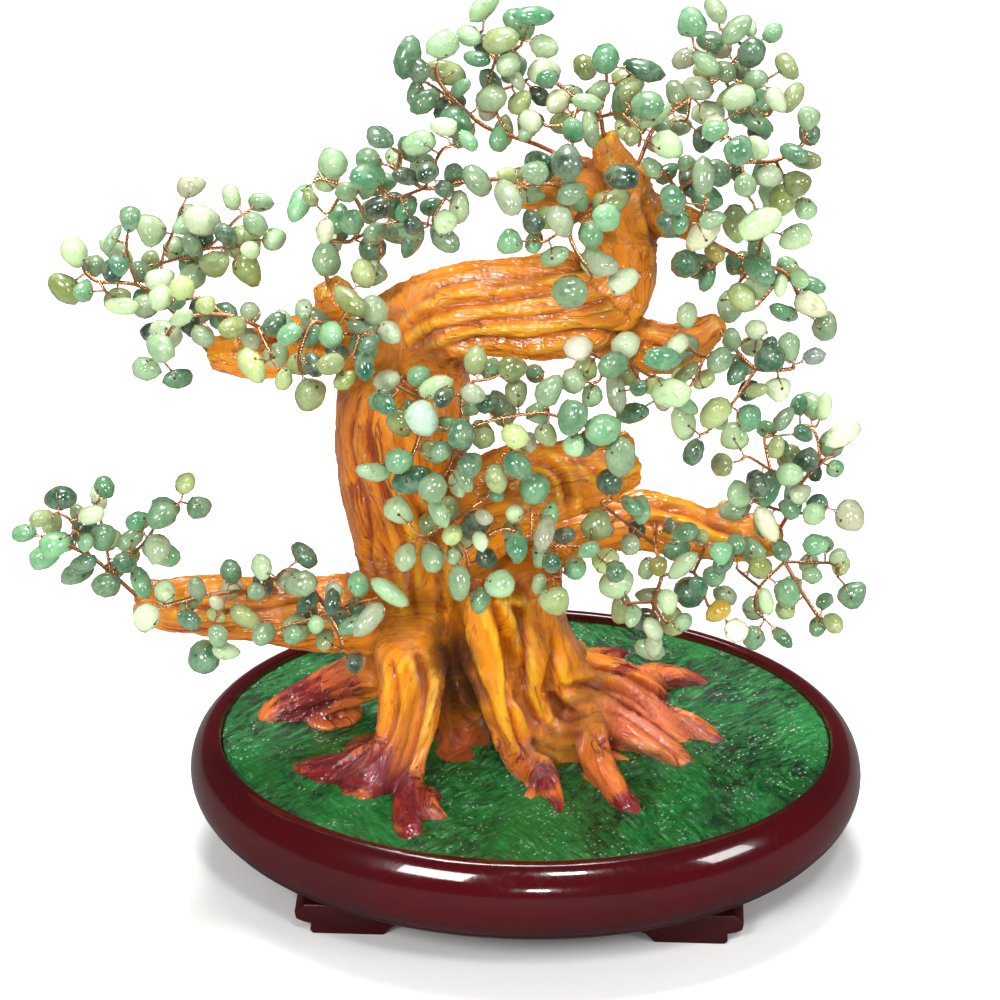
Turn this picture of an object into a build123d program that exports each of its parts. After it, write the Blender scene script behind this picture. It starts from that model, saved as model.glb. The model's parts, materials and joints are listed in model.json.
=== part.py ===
"""Gemstone tree ornament: a cast tree with copper wire twigs and stone chips, in an oval footed pot."""
from build123d import *
import math
import os
import random
import numpy as np

# The pot, in millimetres: +X along its length, the front towards -Y, standing on z = 0
pot_length = 244.0
pot_width = 182.0
pot_height = 50.0
rim_width = 11.5
rim_roll = 6.5
floor_thickness = 6.0
belly_inset = 26.0
cavity_taper = 20.0

# The four bracket feet under the pot, each a pad below a wider step
foot_height = 6.0
pad_height = 4.8
step_rise = 4.4
foot_length = 25.0
foot_spacing = 121.0
foot_depth = 15.0
foot_setback = 32.0
foot_step = 6.0
foot_tail = 13.0
foot_curve_shares = (0.25, 0.75)

# The plaster bed and the turf on it
cast_gap = 0.1
plaster_gap = 0.3
turf_thickness = 2.0
turf_drop = 2.0

# The cast tree
tree_rise = 200.0
limb_reach = 110.0
trunk_girth = 23.0

# The copper wire: a bundle glued in each limb, stems of many strands, twigs of two strands
root_radius = 1.2
root_depth = 6.0
root_stand = 2.0
root_step = 0.25
socket_gap = 0.05
stem_radius = 1.0
twig_radius = 0.45
bend_clearance = 0.06
stem_sides = 5
twig_sides = 4

# The stone chips and their spacing along the stems
stone_longest = 14.0
stone_shortest = 9.0
twig_longest = 8.0
twig_shortest = 1.4
stone_pitch = 4.9
tip_setback = 5.0
first_stone = 6.0
stone_clearance = 0.25
branch_clearance = 0.5
limb_clearance = 1.2
bead_pitch = 1.5

# How the twigs spread: the turn from one to the next and its spread, in radians, and their lean from the
# stem in degrees along its sides and at its tip
twig_turn = 2.4
twig_turn_spread = 0.5
side_leans = (50, 95)
tip_leans = (10, 60)
twig_attempts = 18

# How far each branch is bent either way at its root, in degrees
widest_sway = 9.0
sways = {
    "lower_left_far": 9.0, "lower_left_near": 5.0, "lower_left_inner": 5.0,
    "mid_left_far": 8.0, "mid_left_near": 5.0, "mid_left_inner": 5.0,
    "upper_left": 8.0, "top_left": 6.0, "left_crown": 6.0, "crown_front": 5.0,
    "top_centre": 6.0, "top_right": 8.0, "right_crown": 6.0, "right_upper": 6.0,
    "right_mid": 5.0, "right_mid_inner": 5.0, "centre_front": 4.0, "centre_lower": 4.0,
    "right_lower": 5.0, "right_end": 6.0, "right_far": 6.0,
}

# Heights and half lengths that follow from the sizes above
turf_level = pot_height - turf_drop
plaster_level = turf_level - turf_thickness
floor_level = foot_height + floor_thickness
half_length = pot_length / 2
half_width = pot_width / 2

# The pot's wall, outside and inside: shares of its height, and of the belly's inset or the cavity's taper
belly_shares = [(0.12, 1.00), (0.20, 0.74), (0.34, 0.36), (0.50, 0.10), (0.66, 0.00), (0.82, 0.03),
                (1.00, 0.16)]
cavity_shares = [(0.00, 1.00), (0.30, 0.55), (0.65, 0.18), (1.00, 0.00)]

# The limbs and roots, as stations along each: x and y in shares of the limbs' reach, the height above
# the turf in shares of the tree's rise, and the radius there in shares of the trunk's girth
limb_shares = {
    "trunk": [(-0.15, 0.13, -0.04, 1.25), (-0.17, 0.12, 0.06, 1.13), (-0.22, 0.06, 0.18, 1.09),
              (-0.31, 0.02, 0.34, 1.04), (-0.37, 0.00, 0.48, 0.96), (-0.39, 0.00, 0.60, 0.98),
              (-0.38, 0.00, 0.71, 0.96), (-0.34, 0.00, 0.82, 0.66)],
    "shoulder": [(-0.56, 0.00, 0.79, 0.44), (-0.44, 0.00, 0.80, 0.61), (-0.30, 0.00, 0.83, 0.68),
                 (-0.14, -0.02, 0.86, 0.70), (0.03, -0.03, 0.87, 0.76), (0.18, -0.03, 0.89, 0.74),
                 (0.28, -0.02, 0.94, 0.57), (0.28, 0.00, 1.02, 0.50), (0.28, 0.00, 1.08, 0.46),
                 (0.25, 0.02, 1.13, 0.28), (0.23, 0.03, 1.17, 0.17)],
    "crown_left": [(0.26, 0.00, 1.05, 0.39), (0.16, -0.04, 1.08, 0.39), (0.05, -0.07, 1.10, 0.35),
                   (-0.06, -0.09, 1.10, 0.26)],
    "crown_left_upper": [(0.22, 0.00, 1.07, 0.30), (0.15, 0.04, 1.10, 0.26), (0.09, 0.05, 1.13, 0.20)],
    "crown_right": [(0.31, 0.00, 1.04, 0.39), (0.40, 0.02, 1.03, 0.30), (0.49, 0.04, 1.01, 0.24),
                    (0.55, 0.05, 0.98, 0.17)],
    "right_short": [(0.19, 0.00, 0.83, 0.52), (0.35, -0.02, 0.80, 0.39), (0.45, -0.04, 0.80, 0.35),
                    (0.54, -0.05, 0.83, 0.26), (0.59, -0.05, 0.86, 0.17)],
    "middle_stub": [(-0.32, -0.02, 0.34, 0.78), (-0.19, -0.07, 0.45, 0.74), (-0.05, -0.13, 0.54, 0.67),
                    (0.11, -0.13, 0.57, 0.61), (0.23, -0.09, 0.58, 0.52), (0.34, -0.05, 0.59, 0.41)],
    "lower_right": [(-0.23, 0.00, 0.31, 0.74), (-0.02, 0.02, 0.38, 0.57), (0.17, 0.05, 0.42, 0.48),
                    (0.36, 0.07, 0.43, 0.46), (0.52, 0.07, 0.41, 0.41), (0.68, 0.07, 0.40, 0.37),
                    (0.82, 0.07, 0.39, 0.20)],
    "lower_right_spike": [(0.59, 0.07, 0.40, 0.28), (0.64, 0.07, 0.47, 0.11)],
    "mid_left": [(-0.42, 0.00, 0.78, 0.60), (-0.58, 0.02, 0.79, 0.55), (-0.71, 0.04, 0.77, 0.43),
                 (-0.85, 0.05, 0.75, 0.35), (-0.99, 0.07, 0.74, 0.24)],
    "mid_left_nub": [(-0.54, 0.00, 0.80, 0.40), (-0.58, 0.02, 0.85, 0.34), (-0.61, 0.03, 0.89, 0.22)],
    "lower_left": [(-0.37, 0.00, 0.28, 0.74), (-0.53, -0.04, 0.26, 0.65), (-0.72, -0.07, 0.27, 0.54),
                   (-0.91, -0.11, 0.29, 0.48), (-1.10, -0.13, 0.30, 0.43), (-1.24, -0.14, 0.32, 0.30)],
    "left_leg": [(-0.31, -0.09, 0.31, 0.61), (-0.38, -0.15, 0.22, 0.50), (-0.38, -0.20, 0.14, 0.41),
                 (-0.40, -0.27, 0.06, 0.39), (-0.46, -0.34, 0.02, 0.35), (-0.57, -0.37, -0.01, 0.22)],
    "left_leg_toe": [(-0.41, -0.26, 0.05, 0.35), (-0.52, -0.29, 0.03, 0.30), (-0.64, -0.28, 0.01, 0.26),
                     (-0.74, -0.24, -0.01, 0.15)],
    "thin_root": [(-0.30, -0.16, 0.23, 0.26), (-0.30, -0.24, 0.16, 0.22), (-0.33, -0.31, 0.09, 0.21),
                  (-0.36, -0.39, 0.03, 0.22), (-0.36, -0.51, 0.01, 0.22), (-0.30, -0.62, -0.01, 0.10)],
    "thin_root_toe": [(-0.35, -0.40, 0.02, 0.22), (-0.28, -0.49, 0.01, 0.18), (-0.21, -0.54, -0.01, 0.09)],
    "left_back": [(-0.31, 0.00, 0.19, 0.52), (-0.49, 0.02, 0.12, 0.43), (-0.63, 0.08, 0.06, 0.37),
                  (-0.77, 0.08, 0.02, 0.32), (-0.87, 0.03, -0.01, 0.18)],
    "middle_root": [(-0.11, -0.13, 0.35, 0.57), (-0.13, -0.17, 0.27, 0.43), (-0.10, -0.20, 0.18, 0.35),
                    (-0.05, -0.23, 0.10, 0.30), (-0.01, -0.24, 0.04, 0.26), (0.06, -0.26, 0.01, 0.28)],
    "middle_root_toe": [(0.04, -0.25, 0.02, 0.26), (0.10, -0.37, 0.01, 0.18), (0.15, -0.53, -0.01, 0.09)],
    "cord_root": [(-0.05, -0.10, 0.34, 0.39), (-0.01, -0.12, 0.25, 0.30), (0.02, -0.15, 0.15, 0.28),
                  (0.06, -0.15, 0.07, 0.26), (0.13, -0.13, 0.04, 0.26), (0.21, -0.07, 0.05, 0.28)],
    "right_body": [(-0.03, -0.02, 0.33, 0.74), (0.01, -0.02, 0.24, 0.61), (0.06, -0.01, 0.16, 0.57),
                   (0.16, 0.05, 0.06, 0.52), (0.35, 0.07, -0.01, 0.40)],
    "cut_stub": [(0.06, 0.04, 0.19, 0.30), (0.18, 0.05, 0.15, 0.20)],
    "fan_back": [(0.11, 0.17, 0.07, 0.39), (0.27, 0.20, 0.06, 0.28), (0.39, 0.20, 0.03, 0.24),
                 (0.46, 0.17, -0.01, 0.15)],
    "fan_back_tip": [(0.33, 0.22, 0.03, 0.24), (0.49, 0.30, 0.02, 0.21), (0.65, 0.29, -0.01, 0.08)],
    "fan_side": [(0.15, 0.04, 0.07, 0.35), (0.29, 0.08, 0.06, 0.28), (0.41, 0.03, 0.03, 0.24),
                 (0.52, -0.05, -0.01, 0.15)],
    "fan_side_tip": [(0.41, 0.07, 0.03, 0.22), (0.56, 0.01, 0.01, 0.20), (0.70, -0.07, -0.01, 0.08)],
    "fan_front": [(0.18, -0.02, 0.06, 0.32), (0.29, -0.05, 0.05, 0.29), (0.40, -0.10, 0.03, 0.26),
                  (0.56, -0.17, -0.01, 0.09)],
    "front_root": [(0.20, -0.06, 0.06, 0.30), (0.23, -0.19, 0.04, 0.27), (0.28, -0.31, 0.02, 0.24),
                   (0.38, -0.48, -0.01, 0.13)],
    "back_root": [(0.10, 0.22, 0.05, 0.32), (0.22, 0.38, 0.02, 0.22), (0.37, 0.52, -0.01, 0.09)],
    "rear_root": [(-0.20, 0.20, 0.10, 0.45), (-0.30, 0.36, 0.03, 0.32), (-0.44, 0.50, -0.01, 0.12)],
    "root_web": [(0.02, -0.10, -0.01, 0.70), (0.22, -0.08, -0.02, 0.55), (0.42, -0.14, -0.03, 0.30)],
}

# The stems of each wire branch, its first stem from the limb and the others from a point of an earlier
# one: x and y in shares of the limbs' reach, the height above the turf in shares of the tree's rise
stem_shares = {
    "lower_left_far": [
        [(-1.25, -0.14, 0.33), (-1.31, -0.15, 0.37), (-1.37, -0.17, 0.41), (-1.46, -0.18, 0.44),
         (-1.56, -0.18, 0.46)],
        [(-1.31, -0.15, 0.37), (-1.34, -0.07, 0.43), (-1.37, -0.04, 0.50)],
        [(-1.31, -0.15, 0.37), (-1.19, -0.25, 0.46), (-1.11, -0.27, 0.53), (-1.02, -0.27, 0.57)],
        [(-1.37, -0.17, 0.41), (-1.40, -0.27, 0.51), (-1.47, -0.29, 0.55)],
    ],
    "lower_left_near": [
        [(-0.83, -0.18, 0.35), (-0.91, -0.31, 0.39), (-1.02, -0.35, 0.39), (-1.16, -0.33, 0.36)],
        [(-0.91, -0.31, 0.39), (-0.96, -0.36, 0.34), (-0.97, -0.35, 0.29)],
        [(-0.87, -0.25, 0.37), (-0.77, -0.31, 0.42), (-0.70, -0.33, 0.46)],
    ],
    "lower_left_inner": [
        [(-0.65, -0.18, 0.34), (-0.60, -0.33, 0.36), (-0.56, -0.38, 0.32), (-0.57, -0.38, 0.28)],
        [(-0.60, -0.33, 0.36), (-0.51, -0.38, 0.40), (-0.42, -0.40, 0.42)],
        [(-0.60, -0.33, 0.36), (-0.69, -0.36, 0.35), (-0.78, -0.38, 0.34)],
    ],
    "mid_left_far": [
        [(-0.99, 0.07, 0.74), (-1.05, 0.09, 0.78), (-1.13, 0.09, 0.83), (-1.21, 0.07, 0.87),
         (-1.32, 0.05, 0.88), (-1.40, 0.05, 0.91)],
        [(-1.13, 0.09, 0.83), (-1.14, 0.15, 0.89), (-1.09, 0.16, 0.96), (-1.05, 0.16, 1.02)],
        [(-1.21, 0.07, 0.87), (-1.22, 0.00, 0.95), (-1.21, -0.02, 1.01)],
        [(-1.14, 0.15, 0.89), (-0.99, 0.07, 0.94), (-0.89, 0.05, 1.00), (-0.81, 0.07, 1.03)],
        [(-0.99, 0.07, 0.94), (-0.88, 0.02, 0.96), (-0.79, 0.02, 0.98)],
        [(-1.32, 0.05, 0.88), (-1.27, -0.04, 0.87)],
    ],
    "mid_left_near": [
        [(-0.78, -0.02, 0.79), (-0.81, -0.13, 0.85), (-0.91, -0.16, 0.88), (-1.04, -0.16, 0.87),
         (-1.11, -0.15, 0.81), (-1.10, -0.13, 0.76)],
        [(-0.91, -0.16, 0.88), (-0.98, -0.09, 0.89), (-1.09, -0.07, 0.88)],
        [(-0.81, -0.13, 0.85), (-0.77, -0.24, 0.84), (-0.75, -0.25, 0.80)],
    ],
    "mid_left_inner": [
        [(-0.57, -0.09, 0.81), (-0.57, -0.22, 0.87), (-0.63, -0.27, 0.90), (-0.67, -0.29, 0.85),
         (-0.67, -0.29, 0.79)],
        [(-0.57, -0.22, 0.87), (-0.52, -0.20, 0.92), (-0.52, -0.18, 0.95)],
        [(-0.57, -0.22, 0.87), (-0.49, -0.31, 0.89), (-0.42, -0.33, 0.91)],
        [(-0.49, -0.31, 0.89), (-0.51, -0.33, 0.86), (-0.59, -0.33, 0.83)],
    ],
    "upper_left": [
        [(-0.61, 0.03, 0.89), (-0.63, 0.03, 0.93), (-0.60, 0.02, 0.97), (-0.53, 0.00, 0.98),
         (-0.50, 0.00, 1.03), (-0.55, 0.02, 1.07), (-0.62, 0.04, 1.08), (-0.69, 0.04, 1.07)],
        [(-0.53, 0.00, 0.98), (-0.43, -0.04, 1.02), (-0.35, -0.05, 1.03), (-0.25, -0.05, 1.02)],
        [(-0.50, 0.00, 1.03), (-0.44, 0.07, 1.04), (-0.48, 0.09, 1.07)],
        [(-0.55, 0.02, 1.07), (-0.59, -0.07, 1.05), (-0.64, -0.09, 1.05)],
        [(-0.43, -0.04, 1.02), (-0.44, -0.07, 0.98), (-0.44, -0.07, 0.96)],
    ],
    "top_left": [
        [(0.09, 0.05, 1.13), (0.02, 0.04, 1.15), (-0.06, 0.02, 1.17), (-0.13, 0.00, 1.19),
         (-0.20, -0.02, 1.23), (-0.26, -0.02, 1.27), (-0.28, -0.02, 1.32)],
        [(-0.06, 0.02, 1.17), (-0.12, 0.07, 1.23), (-0.10, 0.07, 1.29), (-0.06, 0.07, 1.35)],
        [(-0.10, 0.07, 1.29), (-0.03, 0.04, 1.32), (0.00, 0.04, 1.35)],
        [(-0.10, 0.07, 1.29), (-0.15, 0.11, 1.32), (-0.12, 0.11, 1.35)],
        [(-0.20, -0.02, 1.23), (-0.28, 0.03, 1.25), (-0.35, 0.05, 1.27)],
        [(-0.12, 0.07, 1.23), (-0.03, 0.11, 1.24), (0.03, 0.11, 1.26)],
    ],
    "left_crown": [
        [(-0.06, -0.09, 1.12), (-0.14, -0.11, 1.12), (-0.21, -0.13, 1.12), (-0.30, -0.13, 1.11),
         (-0.38, -0.13, 1.14), (-0.43, -0.13, 1.16)],
        [(-0.21, -0.13, 1.12), (-0.27, -0.16, 1.07), (-0.28, -0.16, 1.03)],
        [(-0.30, -0.13, 1.11), (-0.25, -0.20, 1.19), (-0.18, -0.22, 1.22)],
        [(-0.30, -0.13, 1.11), (-0.38, -0.20, 1.11), (-0.45, -0.22, 1.14)],
        [(-0.38, -0.13, 1.14), (-0.37, -0.17, 1.18), (-0.40, -0.20, 1.20)],
    ],
    "crown_front": [
        [(0.18, -0.13, 1.08), (0.14, -0.24, 1.08), (0.14, -0.29, 1.06), (0.19, -0.31, 1.02),
         (0.28, -0.31, 1.01)],
        [(0.14, -0.24, 1.08), (0.06, -0.29, 1.06), (0.02, -0.29, 1.07)],
        [(0.14, -0.24, 1.08), (0.10, -0.27, 1.15), (0.02, -0.29, 1.16), (-0.04, -0.29, 1.15)],
        [(0.10, -0.27, 1.15), (0.14, -0.22, 1.19), (0.10, -0.18, 1.20)],
        [(0.19, -0.31, 1.02), (0.22, -0.31, 0.98)],
        [(0.14, -0.24, 1.08), (0.22, -0.27, 1.12), (0.26, -0.27, 1.16)],
    ],
    "top_centre": [
        [(0.23, 0.03, 1.16), (0.21, 0.00, 1.21), (0.15, -0.02, 1.24), (0.09, -0.02, 1.27),
         (0.03, -0.02, 1.28)],
        [(0.21, 0.00, 1.21), (0.28, -0.13, 1.25), (0.33, -0.15, 1.27)],
        [(0.15, -0.02, 1.24), (0.13, -0.13, 1.23), (0.07, -0.16, 1.23), (0.02, -0.16, 1.24)],
        [(0.21, 0.00, 1.21), (0.23, 0.05, 1.25), (0.23, 0.05, 1.29), (0.30, 0.05, 1.28)],
        [(0.28, -0.13, 1.25), (0.33, -0.18, 1.23), (0.33, -0.20, 1.18)],
    ],
    "top_right": [
        [(0.31, 0.05, 1.09), (0.38, 0.11, 1.17), (0.48, 0.11, 1.22), (0.57, 0.11, 1.26), (0.64, 0.11, 1.31),
         (0.71, 0.11, 1.33)],
        [(0.57, 0.11, 1.26), (0.50, 0.02, 1.32), (0.46, 0.00, 1.35)],
        [(0.64, 0.11, 1.31), (0.57, 0.05, 1.35), (0.54, 0.05, 1.37)],
        [(0.57, 0.11, 1.26), (0.67, 0.04, 1.26), (0.74, 0.02, 1.29)],
        [(0.57, 0.11, 1.26), (0.63, 0.18, 1.20), (0.71, 0.20, 1.17), (0.75, 0.20, 1.20)],
        [(0.48, 0.11, 1.22), (0.47, 0.00, 1.21), (0.42, -0.04, 1.21)],
        [(0.67, 0.04, 1.26), (0.64, -0.05, 1.24), (0.57, -0.07, 1.23)],
    ],
    "right_crown": [
        [(0.42, -0.04, 1.05), (0.45, -0.11, 1.11), (0.52, -0.15, 1.15), (0.63, -0.15, 1.17),
         (0.73, -0.13, 1.17),
         (0.80, -0.11, 1.19), (0.83, -0.11, 1.23)],
        [(0.45, -0.11, 1.11), (0.41, -0.18, 1.15), (0.39, -0.20, 1.18)],
        [(0.63, -0.15, 1.17), (0.65, -0.20, 1.13), (0.69, -0.20, 1.09)],
        [(0.73, -0.13, 1.17), (0.78, -0.09, 1.11), (0.80, -0.09, 1.09)],
        [(0.52, -0.15, 1.15), (0.53, -0.24, 1.13), (0.49, -0.24, 1.06)],
        [(0.63, -0.15, 1.17), (0.59, -0.22, 1.23), (0.52, -0.24, 1.22)],
    ],
    "right_upper": [
        [(0.54, 0.05, 0.98), (0.60, 0.02, 0.97), (0.69, 0.00, 0.95), (0.78, -0.02, 0.94), (0.83, -0.02, 0.89),
         (0.87, -0.02, 0.84)],
        [(0.69, 0.00, 0.95), (0.71, -0.05, 1.02), (0.77, -0.07, 1.03)],
        [(0.60, 0.02, 0.97), (0.56, -0.07, 0.96), (0.52, -0.09, 0.98)],
        [(0.78, -0.02, 0.94), (0.71, -0.07, 0.90), (0.65, -0.09, 0.87)],
        [(0.69, 0.00, 0.95), (0.64, 0.07, 0.89), (0.67, 0.09, 0.85)],
    ],
    "right_mid": [
        [(0.58, -0.05, 0.85), (0.63, -0.13, 0.83), (0.70, -0.16, 0.80), (0.80, -0.16, 0.80),
         (0.83, -0.16, 0.82)],
        [(0.63, -0.13, 0.83), (0.54, -0.20, 0.83), (0.47, -0.22, 0.87), (0.45, -0.22, 0.90)],
        [(0.70, -0.16, 0.80), (0.64, -0.22, 0.76), (0.57, -0.24, 0.71), (0.50, -0.24, 0.68)],
        [(0.63, -0.13, 0.83), (0.71, -0.07, 0.84), (0.77, -0.05, 0.84)],
        [(0.54, -0.20, 0.83), (0.50, -0.25, 0.79), (0.43, -0.25, 0.77), (0.35, -0.25, 0.75)],
    ],
    "right_mid_inner": [
        [(0.35, -0.09, 0.82), (0.31, -0.24, 0.83), (0.24, -0.29, 0.85), (0.18, -0.31, 0.87)],
        [(0.31, -0.24, 0.83), (0.36, -0.33, 0.81), (0.32, -0.35, 0.81)],
        [(0.24, -0.29, 0.85), (0.23, -0.35, 0.83), (0.17, -0.36, 0.81)],
        [(0.31, -0.24, 0.83), (0.38, -0.36, 0.84), (0.42, -0.38, 0.87)],
    ],
    "centre_front": [
        [(-0.36, -0.20, 0.77), (-0.31, -0.33, 0.78), (-0.30, -0.40, 0.75), (-0.33, -0.42, 0.70),
         (-0.41, -0.42, 0.66)],
        [(-0.31, -0.33, 0.78), (-0.37, -0.36, 0.81), (-0.37, -0.40, 0.80)],
        [(-0.30, -0.40, 0.75), (-0.18, -0.44, 0.76), (-0.06, -0.44, 0.78), (0.07, -0.44, 0.79),
         (0.20, -0.42, 0.76),
         (0.30, -0.40, 0.73)],
        [(-0.18, -0.44, 0.76), (-0.17, -0.42, 0.83), (-0.05, -0.40, 0.85)],
        [(-0.06, -0.44, 0.78), (-0.03, -0.44, 0.72), (-0.09, -0.44, 0.70)],
        [(-0.18, -0.44, 0.76), (-0.21, -0.45, 0.70), (-0.24, -0.45, 0.66), (-0.20, -0.44, 0.64)],
        [(0.07, -0.44, 0.79), (0.07, -0.40, 0.83), (0.10, -0.38, 0.84)],
    ],
    "centre_lower": [
        [(-0.23, -0.22, 0.46), (-0.24, -0.35, 0.54), (-0.29, -0.40, 0.54), (-0.35, -0.42, 0.55)],
        [(-0.24, -0.35, 0.54), (-0.17, -0.42, 0.52), (-0.16, -0.44, 0.47), (-0.11, -0.45, 0.48)],
        [(-0.17, -0.42, 0.52), (-0.06, -0.44, 0.57), (0.03, -0.44, 0.55), (0.10, -0.44, 0.54),
         (0.21, -0.42, 0.53),
         (0.27, -0.42, 0.49)],
        [(-0.24, -0.35, 0.54), (-0.16, -0.42, 0.60), (-0.08, -0.42, 0.63)],
        [(0.03, -0.44, 0.55), (0.03, -0.40, 0.59), (0.02, -0.40, 0.60)],
        [(0.10, -0.44, 0.54), (0.12, -0.45, 0.49), (0.07, -0.45, 0.47)],
    ],
    "right_lower": [
        [(0.41, -0.05, 0.45), (0.41, -0.18, 0.46), (0.43, -0.24, 0.42), (0.41, -0.25, 0.37),
         (0.46, -0.25, 0.31)],
        [(0.41, -0.18, 0.46), (0.31, -0.22, 0.52), (0.24, -0.24, 0.56), (0.31, -0.25, 0.58)],
        [(0.43, -0.24, 0.42), (0.53, -0.22, 0.42), (0.58, -0.24, 0.36), (0.65, -0.24, 0.33)],
        [(0.41, -0.25, 0.37), (0.33, -0.29, 0.38), (0.29, -0.31, 0.39)],
        [(0.53, -0.22, 0.42), (0.56, -0.25, 0.48), (0.51, -0.27, 0.50)],
        [(0.41, -0.25, 0.37), (0.40, -0.20, 0.30), (0.42, -0.18, 0.27)],
    ],
    "right_end": [
        [(0.78, 0.02, 0.40), (0.82, -0.05, 0.39), (0.87, -0.09, 0.35), (0.92, -0.11, 0.31),
         (0.97, -0.11, 0.28)],
        [(0.82, -0.05, 0.39), (0.74, -0.15, 0.37), (0.73, -0.16, 0.33), (0.79, -0.16, 0.29)],
        [(0.82, -0.05, 0.39), (0.92, -0.02, 0.38), (0.98, 0.00, 0.37), (1.01, 0.00, 0.32)],
        [(0.74, -0.15, 0.37), (0.67, -0.20, 0.42), (0.66, -0.20, 0.44)],
    ],
    "right_far": [
        [(0.80, 0.07, 0.41), (0.83, 0.04, 0.46), (0.86, 0.00, 0.53), (0.92, -0.02, 0.58),
         (0.99, -0.02, 0.61)],
        [(0.86, 0.00, 0.53), (0.76, -0.07, 0.58), (0.69, -0.09, 0.61), (0.63, -0.09, 0.59)],
        [(0.92, -0.02, 0.58), (0.90, 0.04, 0.62), (0.85, 0.05, 0.63), (0.95, 0.05, 0.63)],
        [(0.76, -0.07, 0.58), (0.74, -0.04, 0.63), (0.80, -0.02, 0.64)],
        [(0.83, 0.04, 0.46), (0.91, -0.05, 0.49), (0.98, -0.07, 0.52)],
        [(0.83, 0.04, 0.46), (0.74, -0.04, 0.50), (0.69, -0.05, 0.52)],
    ],
}

# A stone's proportions: its width to its length, its thickness to its width, how far its corners stay
# inside the oval round it, and where its two small flats lie and how large they are
stone_width_shares = (0.74, 0.96)
stone_thickness_shares = (0.58, 0.86)
corner_shares = (0.88, 1.00)
flat_height_share = 0.86
flat_size_share = 0.50
twig_seat_share = 0.40
longest_setback_share = 0.6
corner_counts = (5, 5, 6)

# A steep direction that no stem follows, from which the twigs' turns round a stem are measured
level_hint = np.array([0.31, 0.17, 0.94])


def tree_point(station):
    """Where a station of a limb or a stem lies, in millimetres."""
    x_share, y_share, z_share = station[:3]
    return np.array([x_share * limb_reach, y_share * limb_reach, turf_level + z_share * tree_rise])


def unit(vector):
    """The vector's direction, one long."""
    return vector / np.linalg.norm(vector)


def turned(axis, degrees):
    """The matrix that turns about an axis through zero."""
    angle = math.radians(degrees)
    x, y, z = axis
    cross = np.array([[0, -z, y], [z, 0, -x], [-y, x, 0]])
    return np.eye(3) + math.sin(angle) * cross + (1 - math.cos(angle)) * cross @ cross


def wood_gap(point):
    """How far a point lies outside the nearest limb, less than zero inside one."""
    gaps = []
    for stations in limb_shares.values():
        for low, high in zip(stations, stations[1:]):
            start, end = tree_point(low), tree_point(high)
            length = np.linalg.norm(end - start)
            along = (point - start) @ (end - start) / length
            share = min(max(along / length, 0), 1)
            beyond = abs(along - share * length)
            radius = (low[3] + share * (high[3] - low[3])) * trunk_girth
            sideways = np.linalg.norm(point - start - (end - start) * along / length) - radius
            gaps.append(math.hypot(max(sideways, 0), beyond) if beyond else sideways)
    return min(gaps)


def root_and_bend(name):
    """A branch's wire root: its buried end, the point where it bends, its heading, and the bend's axis."""
    start, following = (tree_point(station) for station in stem_shares[name][0][:2])
    heading = unit(following - start)
    surface = start
    while wood_gap(surface) > 0:
        surface = surface - heading * root_step
    while wood_gap(surface) < 0:
        surface = surface + heading * root_step
    pivot = surface
    while wood_gap(pivot) < root_stand:
        pivot = pivot + heading * root_step
    return surface - heading * root_depth, pivot, heading, unit(np.cross(heading, (0, 0, 1)))


def beads_along(start, end, start_radius, end_radius, pitch):
    """Round beads that fill a straight or tapering rod, as (centre, radius) pairs."""
    count = max(2, math.ceil(np.linalg.norm(end - start) / pitch) + 1)
    steps = [step / (count - 1) for step in range(count)]
    return [(start + (end - start) * s, start_radius + (end_radius - start_radius) * s) for s in steps]


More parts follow.
